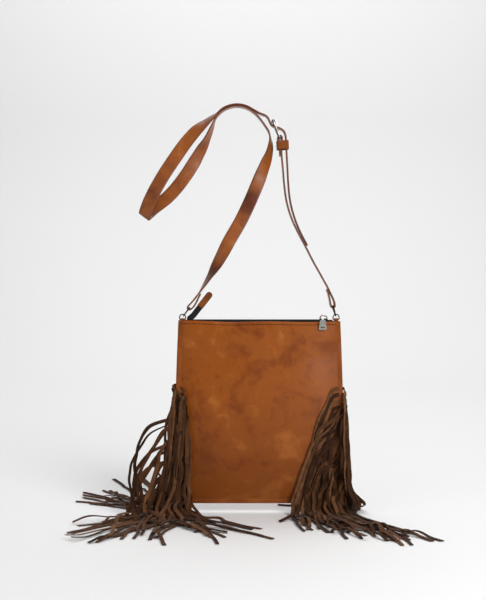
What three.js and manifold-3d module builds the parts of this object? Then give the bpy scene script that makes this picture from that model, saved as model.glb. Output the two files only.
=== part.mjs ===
// A shoulder bag of two leather panels with a zipped mouth, hanging by its strap.
// The strap passes twice over a round rest, hangs in a slack loop on one side and is
// buckled on the other. Suede laces are looped through slits in both side edges.
//
// X runs along the zip, -Y is the way the back panel faces, +Z is up. Millimetres.
// The origin is the underside of the strap at the top of its rest.

import * as THREE from 'three';
import { mergeVertices } from 'three/addons/utils/BufferGeometryUtils.js';
import Module from 'manifold-3d';

const wasm = await Module();
wasm.setup();

// Pouch
const topWidth = 248;
const bottomWidth = 262;
const bagHeight = 281;
const cornerRadius = 16;
const panelLeather = 1.6;
const liningCloth = 0.7;
const pouchDepth = 20;
const seamMargin = 9;
const mouthGap = 11.1;
const mouthShoulder = 9.8;
const groundGap = 13.5;

// Running clearance between neighbouring pieces
const clearance = 0.3;
const foldEase = 0.6;
const liningEase = 1.1;

// Zip
const chainWidth = 5.2;
const chainHeight = 2.2;
const toothPitch = 6.2;
const tapeCloth = 0.6;
const tapeDrop = 12;
const plateMetal = 1;
const sliderLength = 12.5;
const sliderInset = 19.5;
const bailRise = 4.6;
const bailMetal = 1.4;
const pullLength = 15;
const pullWidth = 12.4;
const pullMetal = 1.6;
const slideTravel = 180;
const slideSteps = 30;
const tailWidth = 9;
const tailReach = 32;
const endTabLength = 27;
const endTabWidth = 10;
const endTabThickness = 4.2;

// Rings and links
const ringWidth = 11.4;
const ringHeight = 10.7;
const ringWire = 2;
const ringInset = 6.5;
const ringTabWidth = 6.6;
const ringTabLeather = 1.2;
const ringTabDrop = 14;
const linkLength = 16;
const linkWire = 2.4;
const leftLinkLean = 36;
const rightLinkLean = -17;

// Strap
const strapWidth = 20;
const strapThickness = 2.4;
const strapDrop = 323;
const bagOffset = 34;
const restRadius = 37;
const foldLength = 27;
const loopReach = -139;
const loopDrop = -163;
const loopDepth = 22;
const holeWidth = 4.6;
const holeCount = 4;
const holePitch = 24;
const tongueLength = 128;

// Buckle
const buckleX = 65;
const buckleZ = -46.7;
const buckleLean = 22.5;
const buckleLength = 27;
const buckleWidth = 28;
const buckleWire = 3;
const rollerWall = 1;
const prongWire = 2.4;
const keeperHeight = 13;
const keeperLeather = 1.6;

// Fringe
const laceCount = 17;
const lacePitch = 9.7;
const firstSlit = 103;
const laceWidth = 3.4;
const laceThickness = 1.5;
const slitInset = 6;
const slitWidth = 3.4;
const tailLength = 258;
const tailSteps = 11;
const frontReach = 0.94;
const behindReach = 1.1;

// Places that follow from the driving dimensions
const ringAxisRise = 2.5;
const ringX = topWidth / 2 - ringInset;
const floorZ = -(ringAxisRise + bagHeight + groundGap);
const barRadius = linkWire / 2;
const strapHalf = strapThickness / 2;

const tan = new THREE.MeshStandardMaterial({ color: 0x9a5a2c, roughness: 0.45, metalness: 0 });
const tanStrap = new THREE.MeshStandardMaterial({ color: 0x8f5429, roughness: 0.5, metalness: 0 });
const suede = new THREE.MeshStandardMaterial({ color: 0x4a2f22, roughness: 0.95, metalness: 0 });
const cloth = new THREE.MeshStandardMaterial({ color: 0x3a3128, roughness: 0.9, metalness: 0 });
const blackTape = new THREE.MeshStandardMaterial({ color: 0x141312, roughness: 0.85, metalness: 0 });
const gunmetal = new THREE.MeshStandardMaterial({ color: 0x3c3a3a, roughness: 0.35, metalness: 0.9 });
const nickel = new THREE.MeshStandardMaterial({ color: 0x9b9994, roughness: 0.3, metalness: 1 });

const { lerp, degToRad, smoothstep, clamp } = THREE.MathUtils;
const vec = (x, y, z) => new THREE.Vector3(x, y, z);

// A closed solid from its corners and triangles, with its faces turned outwards.
function solid(corners, triangles) {
  let volume = 0;
  const cross = new THREE.Vector3();
  for (const [a, b, c] of triangles) {
    volume += corners[a].dot(cross.crossVectors(corners[b], corners[c]));
  }
  const index = triangles.flatMap(([a, b, c]) => (volume > 0 ? [a, b, c] : [a, c, b]));
  const geometry = new THREE.BufferGeometry().setFromPoints(corners);
  geometry.setIndex(index);
  geometry.computeVertexNormals();
  return geometry;
}

// Joins the rings of corners in a row of sections. An open row gets a cap at each end.
function loft(sections, closed = false) {
  const sides = sections[0].length;
  const corners = sections.flat();
  const triangles = [];
  const bands = closed ? sections.length : sections.length - 1;
  for (let i = 0; i < bands; i++) {
    const here = i * sides;
    const next = ((i + 1) % sections.length) * sides;
    for (let k = 0; k < sides; k++) {
      const l = (k + 1) % sides;
      triangles.push([here + k, here + l, next + l], [here + k, next + l, next + k]);
    }
  }
  if (!closed) {
    const last = (sections.length - 1) * sides;
    for (let k = 1; k < sides - 1; k++) {
      triangles.push([0, k + 1, k], [last, last + k, last + k + 1]);
    }
  }
  return solid(corners, triangles);
}

// The direction of a path of points at each of its points.
function directions(points, closed = false) {
  const count = points.length;
  return points.map((point, i) => {
    const before = closed ? points[(i + count - 1) % count] : points[Math.max(i - 1, 0)];
    const after = closed ? points[(i + 1) % count] : points[Math.min(i + 1, count - 1)];
    return after.clone().sub(before).normalize();
  });
}

// A flat strip of leather or cloth along stations of { at, across }.
function strip(stations, width, thickness) {
  const along = directions(stations.map((station) => station.at));
  const sections = stations.map((station, i) => {
    const across = station.across.clone().projectOnPlane(along[i]).normalize();
    const normal = across.clone().cross(along[i]);
    const corner = (a, n) =>
      station.at.clone().addScaledVector(across, (a * width) / 2).addScaledVector(normal, (n * thickness) / 2);
    return [corner(-1, -1), corner(1, -1), corner(1, 1), corner(-1, 1)];
  });
  return loft(sections);
}

// A round wire along a flat path with the given plane normal.
function wire(points, planeNormal, radius, sides, closed) {
  const along = directions(points, closed);
  const sections = points.map((point, i) => {
    const out = planeNormal.clone().cross(along[i]).normalize();
    return Array.from({ length: sides }, (_, k) => {
      const angle = ((k + 0.5) / sides) * 2 * Math.PI;
      return point
        .clone()
        .addScaledVector(planeNormal, radius * Math.cos(angle))
        .addScaledVector(out, radius * Math.sin(angle));
    });
  });
  return loft(sections, closed);
}

// A smooth curve through the given stations, with a new station after each turn or reach.
function smoothStations(stations, maxTurn = 13, maxReach = 40) {
  const path = new THREE.CatmullRomCurve3(stations.map((station) => station.at), false, 'centripetal');
  const side = new THREE.CatmullRomCurve3(stations.map((station) => station.across), false, 'catmullrom', 0.2);
  const fine = (stations.length - 1) * 10;
  const kept = [];
  let lastAlong = null;
  for (let i = 0; i <= fine; i++) {
    const t = i / fine;
    const at = path.getPoint(t);
    const along = path.getTangent(t);
    const across = side.getPoint(t).projectOnPlane(along).normalize();
    const last = kept[kept.length - 1];
    const turned = last ? THREE.MathUtils.radToDeg(along.angleTo(lastAlong)) : 180;
    const twisted = last ? THREE.MathUtils.radToDeg(across.angleTo(last.across)) : 180;
    if (i === fine || turned > maxTurn || twisted > maxTurn || at.distanceTo(last.at) > maxReach) {
      if (i === fine && at.distanceTo(last.at) < 2) {
        kept.pop();
      }
      kept.push({ at, across });
      lastAlong = along;
    }
  }
  return kept;
}

function toManifold(geometry) {
  const bare = geometry.clone();
  bare.deleteAttribute('normal');
  bare.deleteAttribute('uv');
  const merged = mergeVertices(bare, 1e-4);
  return new wasm.Manifold(
    new wasm.Mesh({
      numProp: 3,
      vertProperties: new Float32Array(merged.attributes.position.array),
      triVerts: new Uint32Array(merged.index.array),
    }),
  );
}

function fromManifold(body) {
  const mesh = body.getMesh();
  const geometry = new THREE.BufferGeometry();
  geometry.setAttribute('position', new THREE.BufferAttribute(mesh.vertProperties, 3));
  geometry.setIndex(new THREE.BufferAttribute(mesh.triVerts, 1));
  geometry.computeVertexNormals();
  return geometry;
}

function joined(first, ...others) {
  return fromManifold(others.reduce((sum, other) => sum.add(toManifold(other)), toManifold(first)));
}

function cut(body, ...tools) {
  return fromManifold(tools.reduce((rest, tool) => rest.subtract(toManifold(tool)), toManifold(body)));
}

// A flat outline in (a, b) extruded by depth; the three axes say where a, b and depth point.
function plate(outline, depth, origin, aAxis, bAxis) {
  const shape = outline instanceof THREE.Shape ? outline : new THREE.Shape(outline);
  const geometry = new THREE.ExtrudeGeometry(shape, { depth, bevelEnabled: false, curveSegments: 5 });
  const depthAxis = aAxis.clone().cross(bAxis);
  const turn = new THREE.Matrix4().makeBasis(aAxis, bAxis, depthAxis).setPosition(origin);
  geometry.translate(0, 0, -depth / 2);
  return geometry.applyMatrix4(turn);
}

const flat = (...pairs) => pairs.map(([a, b]) => new THREE.Vector2(a, b));

function box(width, depth, height, x, y, z) {
  return new THREE.BoxGeometry(width, depth, height).translate(x, y, z);
}

function named(name, geometry, material) {
  const mesh = new THREE.Mesh(geometry, material);
  mesh.name = name;
  return mesh;
}

// Pouch shape. Depth is measured down from the panels' top edge.

function halfWidth(depth) {
  const t = depth / bagHeight;
  const straight = lerp(topWidth, bottomWidth, 1 - (1 - t) ** 2) / 2;
  const inCorner = clamp(depth - (bagHeight - cornerRadius), 0, cornerRadius);
  return straight - cornerRadius + Math.sqrt(cornerRadius ** 2 - inCorner ** 2);
}

// Half the distance between the inner faces of the two panels.
function halfGap(x, depth) {
  const edge = halfWidth(Math.min(depth, bagHeight - cornerRadius)) - Math.abs(x);
  const seam = clearance / 2;
  const mouth = (mouthGap / 2 - seam) * smoothstep(edge, 0, mouthShoulder) * (1 - smoothstep(depth, 6, 60));
  const inside = halfWidth(depth) - seamMargin;
  const across = clamp(1 - Math.abs(x / inside) ** 3, 0, 1);
  const down = clamp(depth / (bagHeight - seamMargin), 0, 1);
  const belly = (pouchDepth / 2) * across * Math.max(0, Math.sin(Math.PI * down ** 0.8)) ** 0.8;
  return seam + mouth + belly;
}

// The panels' outer face, as a distance from the middle plane.
const outerFace = (x, depth) => halfGap(x, depth) + panelLeather;

const heightAt = (depth) => -ringAxisRise - depth;

function panelDepths() {
  const rows = 10;
  const straight = bagHeight - cornerRadius;
  const upper = Array.from({ length: rows }, (_, j) => straight * (j / rows) ** 1.25);
  const lower = [0, 25, 50, 70, 90].map((angle) => straight + cornerRadius * Math.sin(degToRad(angle)));
  return [...upper, ...lower];
}

function panel(side) {
  const depths = panelDepths();
  const fromEdge = [0, 3.4, 6.8, 10.4, 22, 42, 72];
  const row = (depth, extra) => {
    const half = halfWidth(depth);
    const right = fromEdge.map((distance) => half - distance);
    const columns = [...right.map((x) => -x), 0, ...right.reverse()];
    return columns.map((x) => vec(x, side * (halfGap(x, depth) + extra), heightAt(depth)));
  };
  const inner = depths.map((depth) => row(depth, 0));
  const outer = depths.map((depth) => row(depth, panelLeather));
  const sections = depths.map((_, j) => [...outer[j], ...inner[j].slice().reverse()]);
  return grid(sections);
}

// A thin sheet: each section runs along one face and back along the other.
function grid(sections) {
  const sides = sections[0].length;
  const half = sides / 2;
  const corners = sections.flat();
  const triangles = [];
  for (let j = 0; j < sections.length - 1; j++) {
    for (let k = 0; k < sides; k++) {
      const l = (k + 1) % sides;
      const here = j * sides;
      const next = here + sides;
      triangles.push([here + k, here + l, next + l], [here + k, next + l, next + k]);
    }
  }
  const last = (sections.length - 1) * sides;
  for (let k = 0; k < half - 1; k++) {
    const m = sides - 1 - k;
    triangles.push([k, m, m - 1], [k, m - 1, k + 1]);
    triangles.push([last + k, last + m - 1, last + m], [last + k, last + k + 1, last + m - 1]);
  }
  return solid(corners, triangles);
}

const slitDepths = Array.from({ length: laceCount }, (_, k) => firstSlit + k * lacePitch);

function laceSlits() {
  const tools = [];
  for (const side of [-1, 1]) {
    for (const depth of slitDepths) {
      const x = side * (halfWidth(depth) - slitInset);
      tools.push(box(slitWidth, 4 * panelLeather, laceWidth + 2.6 * clearance, x, 0, heightAt(depth)));
    }
  }
  return tools;
}

// A cloth bag inside the panels, open at the top, where it is sewn to the zip tapes.
function lining() {
  const around = 9;
  const tapeInside = mouthGap / 2 - 2 * clearance - tapeCloth;
  const besideTabs = ringX - ringTabWidth / 2 - 3 * clearance;
  const thinnest = 2.5 * liningCloth;
  const room = (x, depth) => {
    const atTape = depth < tapeDrop + 3;
    return Math.min(halfGap(x, depth) - liningEase, atTape ? tapeInside : pouchDepth);
  };
  const span = (depth) => {
    let x = besideTabs;
    while (x > 0 && room(x, depth) < thinnest) {
      x -= 0.5;
    }
    return x;
  };
  const ring = (depth, inset) => {
    const half = span(depth) - inset;
    const side = (sign) =>
      Array.from({ length: around }, (_, i) => {
        const x = sign * half * Math.cos((Math.PI * (i + 0.5)) / around);
        const y = Math.max(room(x, depth), thinnest) - inset;
        return vec(x, sign * y, heightAt(depth));
      });
    return [...side(1), ...side(-1)];
  };
  const depths = [tapeDrop / 2, tapeDrop + 2, 26, 44, 75, 115, 165, 205, bagHeight - 42];
  const outer = depths.map((depth) => ring(depth, 0));
  const inner = depths.map((depth) => ring(depth, liningCloth));
  inner[inner.length - 1].forEach((corner) => corner.add(vec(0, 0, liningCloth)));
  return loft([...outer.reverse(), ...inner]);
}

const zipLeft = -(ringX - ringTabWidth / 2 - 2);
const zipRight = -zipLeft;
const chainMiddle = 2;
const sliderX = topWidth / 2 - sliderInset - sliderLength / 2;
const neckLength = 3;
const chainRight = sliderX + sliderLength / 2 - neckLength - 2 * clearance;

// Cloth strip that runs level from the teeth and turns down inside its panel.
function zipTape(side) {
  const level = heightAt(0) + chainMiddle;
  const legFace = mouthGap / 2 - clearance;
  const half = tapeCloth / 2;
  const outline = flat(
    [chainWidth / 2 + clearance, level - half],
    [legFace - tapeCloth, level - half],
    [legFace - tapeCloth, heightAt(tapeDrop)],
    [legFace, heightAt(tapeDrop)],
    [legFace, level - half / 2],
    [legFace - half, level + half],
    [chainWidth / 2 + clearance, level + half],
  );
  const turned = outline.map((p) => new THREE.Vector2(side * p.x, p.y));
  return plate(turned, zipRight - zipLeft, vec((zipLeft + zipRight) / 2, 0, 0), vec(0, 1, 0), vec(0, 0, 1));
}

// One row of teeth. The two rows stand half a pitch apart and reach between each other.
function zipTeeth(side) {
  const toothLength = 0.3 * toothPitch;
  const start = zipLeft + 2;
  const count = Math.floor((chainRight - start) / toothPitch) - 1;
  const spine = chainWidth / 2 - 1.1;
  const outline = [[start, chainWidth / 2]];
  outline.push([start, spine]);
  for (let i = 0; i < count; i++) {
    const x = start + (i + (side > 0 ? 0.5 : 0)) * toothPitch + toothLength;
    outline.push([x, spine], [x, -0.7], [x + toothLength, -0.7], [x + toothLength, spine]);
  }
  outline.push([chainRight, spine], [chainRight, chainWidth / 2]);
  const points = flat(...outline.map(([x, y]) => [x, side * y]));
  return plate(points, chainHeight, vec(0, 0, heightAt(0) + chainMiddle), vec(1, 0, 0), vec(0, 1, 0));
}

const bailTop = chainMiddle + chainHeight / 2 + clearance + plateMetal + bailRise;

function zipSlider() {
  const half = sliderLength / 2;
  const halfChannel = chainHeight / 2 + clearance;
  const lip = chainWidth / 2 + 2.5 * clearance;
  const rim = mouthGap / 2 - 2 * clearance - tapeCloth - clearance / 2;
  const level = heightAt(0) + chainMiddle;
  const outline = flat([-half, -lip], [0, -rim], [half, -rim], [half, rim], [0, rim], [-half, lip]);
  const plan = (z) => plate(outline, plateMetal, vec(sliderX, 0, z), vec(1, 0, 0), vec(0, 1, 0));
  const plateRise = halfChannel + plateMetal / 2;
  const pieces = [plan(level - plateRise)];
  const neckX = sliderX + half - neckLength / 2 - clearance;
  pieces.push(box(neckLength, 2, 2 * plateRise, neckX, 0, level));
  const slot = tapeCloth / 2 + clearance;
  const flangeHeight = halfChannel - slot + plateMetal / 2;
  for (const side of [-1, 1]) {
    for (const up of [-1, 1]) {
      const z = level + up * (slot + flangeHeight / 2);
      pieces.push(box(half, rim - lip, flangeHeight, sliderX + half / 2, side * ((rim + lip) / 2), z));
    }
  }
  const foot = level + halfChannel + plateMetal / 2;
  const crown = heightAt(0) + bailTop;
  const inner = bailMetal;
  const arch = flat(
    [-half + 0.4, foot], [-half + 0.4, crown - 2], [-half + 2.4, crown], [half - 2.4, crown],
    [half - 0.4, crown - 2], [half - 0.4, foot], [half - 0.4 - inner, foot],
    [half - 0.4 - inner, crown - 2.6], [half - 2.9, crown - inner], [-half + 2.9, crown - inner],
    [-half + 0.4 + inner, crown - 2.6], [-half + 0.4 + inner, foot],
  );
  pieces.push(plate(arch, 2, vec(sliderX, 0, 0), vec(1, 0, 0), vec(0, 0, 1)));
  return joined(plan(level + plateRise), ...pieces);
}

const pullAxis = heightAt(0) + bailTop - bailMetal / 2;
const eyeInner = 1.7;
const eyeWall = 1.1;
const pullX = sliderX - 2;

// A flat tab with an eye round the bail, bent to hang over the back panel's edge.
function zipPull() {
  const tabTop = heightAt(0) + 3;
  const tabFoot = tabTop - pullLength;
  const passed = [...Array(slideSteps + 1).keys()].map((i) => pullX + pullWidth / 2 - (i * slideTravel) / slideSteps);
  const reach = Math.max(outerFace(pullX, 0), ...passed.map((x) => outerFace(x, heightAt(0) - tabFoot)));
  const tabY = -(reach + clearance + pullMetal / 2);
  const eye = new THREE.Shape().absarc(0, pullAxis, eyeInner + eyeWall, 0, 2 * Math.PI);
  eye.holes.push(new THREE.Path().absarc(0, pullAxis, eyeInner, 0, 2 * Math.PI, true));
  const eyeRing = plate(eye, 3, vec(pullX, 0, 0), vec(0, 1, 0), vec(0, 0, 1));
  const arm = flat(
    [-eyeInner - 0.4, pullAxis + 0.8], [-eyeInner - 0.4, pullAxis - 0.8],
    [tabY + pullMetal / 2, tabTop - 0.4], [tabY + pullMetal / 2, tabTop - 3],
    [tabY - pullMetal / 2, tabTop - 3], [tabY - pullMetal / 2, tabTop + 0.4],
  );
  const armPiece = plate(arm, 3, vec(pullX, 0, 0), vec(0, 1, 0), vec(0, 0, 1));
  const tab = new THREE.Shape(
    flat([-0.32 * pullWidth, tabTop], [-0.5 * pullWidth, tabFoot + 1.5], [-0.42 * pullWidth, tabFoot],
      [0.42 * pullWidth, tabFoot], [0.5 * pullWidth, tabFoot + 1.5], [0.32 * pullWidth, tabTop]),
  );
  const slot = new THREE.Path(
    flat([-3, tabFoot + 3], [-3, tabFoot + 4.6], [3, tabFoot + 4.6], [3, tabFoot + 3]),
  );
  tab.holes.push(slot);
  const tabPiece = plate(tab, pullMetal, vec(pullX, tabY, 0), vec(1, 0, 0), vec(0, 0, 1));
  return joined(eyeRing, armPiece, tabPiece);
}

// The two tape ends, sewn into one tail that stands up out of the mouth's left end.
const tailLean = degToRad(38);
const tailThickness = 2 * tapeCloth + 1;
const tailFoot = vec(zipLeft + tailWidth / 2 + 1, 0, heightAt(0) + chainMiddle);

function zipTailStations() {
  const along = vec(Math.sin(tailLean), 0, Math.cos(tailLean));
  const across = vec(Math.cos(tailLean), 0, -Math.sin(tailLean));
  const tapeY = -(chainWidth / 2 + 2 * clearance + tailThickness / 2);
  const foot = tailFoot.clone().setY(tapeY);
  const at = (reach, y) => tailFoot.clone().addScaledVector(along, reach).setY(y);
  return [
    { at: foot.clone().add(vec(0, 0, -1.5)), across: vec(1, 0, 0) },
    { at: foot.clone().add(vec(0.3, 0, 3)), across: vec(1, 0, -0.2) },
    { at: at(9, tapeY * 0.7), across },
    { at: at(16, 0), across },
    { at: at(tailReach, 0), across },
  ];
}

function zipTapeWithTail() {
  return joined(zipTape(-1), strip(zipTailStations(), tailWidth, tailThickness));
}

// Leather end tab with a pocket that holds the last stretch of the tail.
function zipEndTab() {
  const pocket = 6;
  const along = vec(Math.sin(tailLean), 0, Math.cos(tailLean));
  const across = vec(Math.cos(tailLean), 0, -Math.sin(tailLean));
  const start = tailFoot.clone().addScaledVector(along, tailReach - pocket);
  const half = endTabWidth / 2;
  const round = half * 0.9;
  const shape = new THREE.Shape(flat([-half, 0], [half, 0]));
  shape.lineTo(half, endTabLength - round);
  shape.absarc(0, endTabLength - round, half, 0, Math.PI);
  const body = plate(shape, endTabThickness, start, across, along);
  const gap = 2 * clearance;
  const hollow = plate(
    flat([-(tailWidth + gap) / 2, -1], [(tailWidth + gap) / 2, -1],
      [(tailWidth + gap) / 2, pocket + clearance], [-(tailWidth + gap) / 2, pocket + clearance]),
    tailThickness + gap, start, across, along,
  );
  return cut(body, hollow);
}

// A strip of leather folded round the ring's straight bar and sewn between the panels.
function ringTab(side) {
  const hole = ringWire / 2 + clearance;
  const outer = hole + ringTabLeather;
  const half = ringTabLeather;
  const shape = new THREE.Shape();
  const start = Math.asin(half / outer);
  shape.absarc(0, 0, outer, -Math.PI / 2 + start, 1.5 * Math.PI - start);
  shape.lineTo(-half, -ringTabDrop);
  shape.lineTo(half, -ringTabDrop);
  shape.holes.push(new THREE.Path().absarc(0, 0, hole, 0, 2 * Math.PI, true));
  return plate(shape, ringTabWidth, vec(side * ringX, 0, 0), vec(0, 1, 0), vec(0, 0, 1));
}

const ringRise = ringHeight - ringWire;

// D-ring: a straight bar below and a round arch above.
function dRing(side) {
  const half = (ringWidth - ringWire) / 2;
  const bend = 1.4;
  const points = [vec(-half + bend, 0, 0), vec(half - bend, 0, 0), vec(half, 0, bend)];
  for (let i = 0; i <= 6; i++) {
    const angle = (i / 6) * Math.PI;
    points.push(vec(half * Math.cos(angle), 0, ringRise - half + half * Math.sin(angle)));
  }
  points.push(vec(-half, 0, bend));
  const moved = points.map((p) => p.add(vec(side * ringX, 0, 0)));
  return wire(moved, vec(0, 1, 0), ringWire / 2, 6, true);
}

const bagOrigin = vec(bagOffset, 0, -strapDrop);

// Where a link's wide bar lies, for a link that leans by the given angle.
function linkPlace(side, lean) {
  const along = vec(Math.sin(degToRad(lean)), 0, Math.cos(degToRad(lean)));
  const archRadius = (ringWidth - ringWire) / 2;
  const archCentre = bagOrigin.clone().add(vec(side * ringX, 0, ringRise - archRadius));
  const reach = archRadius - ringWire / 2 - linkWire / 2 - clearance;
  const narrowEnd = archCentre.addScaledVector(along, reach);
  return { along, narrowEnd, bar: narrowEnd.clone().addScaledVector(along, linkLength) };
}

// Strap link: a wide bar in the strap's fold, tapering to a round end in the D-ring.
function link(side, lean) {
  const { along, narrowEnd, bar } = linkPlace(side, lean);
  const halfBar = strapWidth / 2 + linkWire / 2 + 2 * clearance;
  const halfNarrow = (ringWidth - 2 * ringWire) / 2 - linkWire / 2;
  const rows = [
    [halfBar - 1.6, 0], [halfBar, 1.6], [halfBar, 4], [halfNarrow + 2.4, linkLength - 3.4],
    [halfNarrow, linkLength - 0.8], [halfNarrow - 1, linkLength],
  ];
  const right = rows.map(([y, down]) => bar.clone().addScaledVector(along, -down).add(vec(0, y, 0)));
  const left = rows.map(([y, down]) => bar.clone().addScaledVector(along, -down).add(vec(0, -y, 0)));
  const normal = along.clone().cross(vec(0, 1, 0));
  return wire([...right, ...left.reverse()], normal, linkWire / 2, 6, true);
}

// A strap end folded round a bar: from the tip of the short layer round to the long one.
function strapFold(bar, away, longSide, radius) {
  const layer = strapHalf + clearance / 2;
  const rows = [
    [foldLength, -layer], [foldLength * 0.4, -layer], [radius * 1.8, -(layer + radius) / 2],
    [radius * 0.5, -radius * 0.97],
  ];
  for (const angle of [195, 225, 270, 315, 345]) {
    rows.push([radius * Math.sin(degToRad(angle)), radius * Math.cos(degToRad(angle))]);
  }
  rows.push([radius * 0.5, radius * 0.97], [radius * 1.8, (layer + radius) / 2]);
  rows.push([foldLength * 0.4, layer], [foldLength, layer]);
  return rows.map(([a, b]) => bar.clone().addScaledVector(away, a).addScaledVector(longSide, b));
}

// Points between two ends: share of the way, bow to the right of it, and depth.
function bowedRun(start, end, rows) {
  const way = end.clone().sub(start);
  const right = vec(way.z, 0, -way.x).normalize();
  return rows.map(([share, bow, depth = 0]) => {
    const point = start.clone().addScaledVector(way, share).addScaledVector(right, bow);
    return point.setY(depth);
  });
}

const restCentre = vec(0, 0, -restRadius);
const innerLayer = restRadius + strapHalf;
const outerLayer = innerLayer + strapThickness + clearance;

function overRest(radius, from, to, steps) {
  return Array.from({ length: steps + 1 }, (_, i) => {
    const angle = degToRad(lerp(from, to, i / steps));
    return restCentre.clone().add(vec(radius * Math.cos(angle), 0, radius * Math.sin(angle)));
  });
}

// Buckle frame of reference: down runs from the end bar to the heel bar, out is its outer side.
const buckleDown = vec(Math.sin(degToRad(buckleLean)), 0, -Math.cos(degToRad(buckleLean)));
const buckleOut = vec(Math.cos(degToRad(buckleLean)), 0, Math.sin(degToRad(buckleLean)));
const heelBar = vec(buckleX, 0, buckleZ);
const onBuckle = (down, out) =>
  heelBar.clone().addScaledVector(buckleDown, down - buckleLength).addScaledVector(buckleOut, out);

const rollerRadius = buckleWire / 2 + clearance + rollerWall;
const heelFold = buckleWire / 2 + foldEase + strapHalf;
const linkFold = barRadius + foldEase + strapHalf;
const rightLink = linkPlace(1, rightLinkLean);
const leftLink = linkPlace(-1, leftLinkLean);

const keeperAway = vec(0.06, 0, -1).normalize();
const keeperSide = vec(1, 0, 0.06).normalize();
const tongueGap = 7.6;

// The short strap runs from the heel bar down to the right link, its width along Y.
function buckleStrapPoints() {
  const upper = strapFold(heelBar, keeperAway, keeperSide, heelFold);
  const lowerAway = rightLink.along;
  const lowerSide = vec(lowerAway.z, 0, -lowerAway.x);
  const lower = strapFold(rightLink.bar, lowerAway, lowerSide, linkFold).reverse();
  const middle = bowedRun(upper[upper.length - 1], lower[0], [
    [0.08, 4.5], [0.17, 9.6], [0.26, 14.2], [0.36, 17.2], [0.45, 17.4], [0.54, 15.6], [0.65, 12],
    [0.77, 8.6], [0.89, 4.2],
  ]);
  return { upper, middle, lower };
}

const buckleStrapStations = (() => {
  const { upper, middle, lower } = buckleStrapPoints();
  const stations = [...upper, ...middle, ...lower].map((at) => ({ at, across: vec(0, 1, 0) }));
  return smoothStations(stations, 12, 24);
})();

function buckleStrap() {
  const folded = strip(buckleStrapStations, strapWidth, strapThickness);
  const slot = box(4 * heelFold, prongWire + 2.4, 4 * heelFold, heelBar.x, 0, heelBar.z + heelFold);
  return cut(folded, slot);
}

// The tongue lies along the short strap's outer side: off it at the keeper, on it at the tip.
function tongueStations() {
  const top = heelBar.z - heelFold - keeperHeight;
  const along = directions(buckleStrapStations.map((station) => station.at));
  const near = strapThickness + 2 * clearance;
  const onLongSide = (at) => at.x > heelBar.x + (heelBar.z - at.z) * keeperAway.x;
  const stations = [];
  let left = tongueLength;
  let last = null;
  buckleStrapStations.forEach(({ at, across }, i) => {
    if (at.z > top || left <= 0 || !onLongSide(at)) {
      return;
    }
    if (last) {
      left -= at.distanceTo(last);
    }
    last = at;
    const gap = lerp(near, tongueGap, Math.max(0, left / tongueLength) ** 0.7);
    const out = vec(-along[i].z, 0, along[i].x);
    stations.push({ at: at.clone().addScaledVector(out, gap), across });
  });
  return stations;
}

function longStrapStations() {
  const away = leftLink.along;
  const longSide = vec(-away.z, 0, away.x);
  const fold = strapFold(leftLink.bar, away, longSide, linkFold);
  const stations = fold.map((at) => ({ at, across: vec(0, 1, 0) }));

  const innerOver = overRest(innerLayer, 46, 148, 8);
  const rise = bowedRun(fold[fold.length - 1], innerOver[0], [
    [0.077, 6], [0.2, 14.5], [0.322, 20.9], [0.486, 31], [0.63, 35.2], [0.736, 37.6], [0.85, 38.4],
    [0.924, 30], [0.964, 16.5],
  ]);
  const faces = vec(-0.94, 0, 0.33);
  const turns = [vec(-0.3, 0.95, 0.1), vec(-0.75, 0.5, 0.3), faces, faces, faces, vec(-0.8, -0.5, 0.3),
    vec(-0.4, -0.9, 0.1), vec(0, -1, 0), vec(0, -1, 0)];
  rise.forEach((at, i) => stations.push({ at, across: turns[i] }));
  innerOver.forEach((at) => stations.push({ at, across: vec(0, -1, 0) }));

  const loopFoot = vec(loopReach, 0, loopDrop);
  const loopAcross = vec(-0.8, 0, 0.6);
  const outerOver = overRest(outerLayer, 128, 50, 7);
  const back = loopDepth / 2;
  const fall = bowedRun(innerOver[innerOver.length - 1], loopFoot, [
    [0.16, -7, 2], [0.3, -10, 5], [0.45, -12.5, back * 0.7], [0.62, -13, back * 0.9], [0.8, -9, back],
    [0.93, -2, back * 0.9],
  ]);
  const fallTurns = [vec(-0.35, -0.93, 0.1), vec(-0.62, -0.6, 0.4), vec(-0.8, -0.2, 0.5)];
  fall.forEach((at, i) => stations.push({ at, across: fallTurns[i] ?? loopAcross }));
  stations.push({ at: loopFoot.clone().add(vec(-2, back * 0.35, -1.5)), across: loopAcross });
  stations.push({ at: loopFoot.clone().add(vec(-2, -back * 0.35, -1.5)), across: loopAcross });
  const climb = bowedRun(loopFoot, outerOver[0], [
    [0.08, -5.5, -back * 0.9], [0.194, -10, -back], [0.373, -12, -back], [0.579, -13.5, -back * 0.95],
    [0.752, -11.5, -back * 0.85], [0.88, -6, -back * 0.4],
  ]);
  const climbTurns = [loopAcross, loopAcross, loopAcross, vec(-0.75, 0.05, 0.65), vec(-0.6, 0.45, 0.65),
    vec(-0.3, 0.85, 0.4)];
  climb.forEach((at, i) => stations.push({ at, across: climbTurns[i] }));
  outerOver.forEach((at) => stations.push({ at, across: vec(0, 1, 0) }));

  const under = rollerRadius + clearance + strapHalf;
  const past = heelFold + strapHalf + clearance + strapHalf;
  const through = [onBuckle(-9, -under - 1.2), onBuckle(-1, -under - 0.7), onBuckle(4.5, -under + 0.3),
    onBuckle(8.5, -0.4), onBuckle(12, 4), onBuckle(18, past + 2.6), onBuckle(24.5, past + 3.6)];
  through.forEach((at) => stations.push({ at, across: vec(0, 1, 0) }));
  const tongue = tongueStations();
  stations.push(tongue[0]);
  return [...smoothStations(stations), ...tongue.slice(1)];
}

const prongTip = onBuckle(-1.5, rollerRadius + clearance + prongWire / 2);
const prongWay = prongTip.clone().sub(onBuckle(buckleLength, 0)).normalize();

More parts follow.
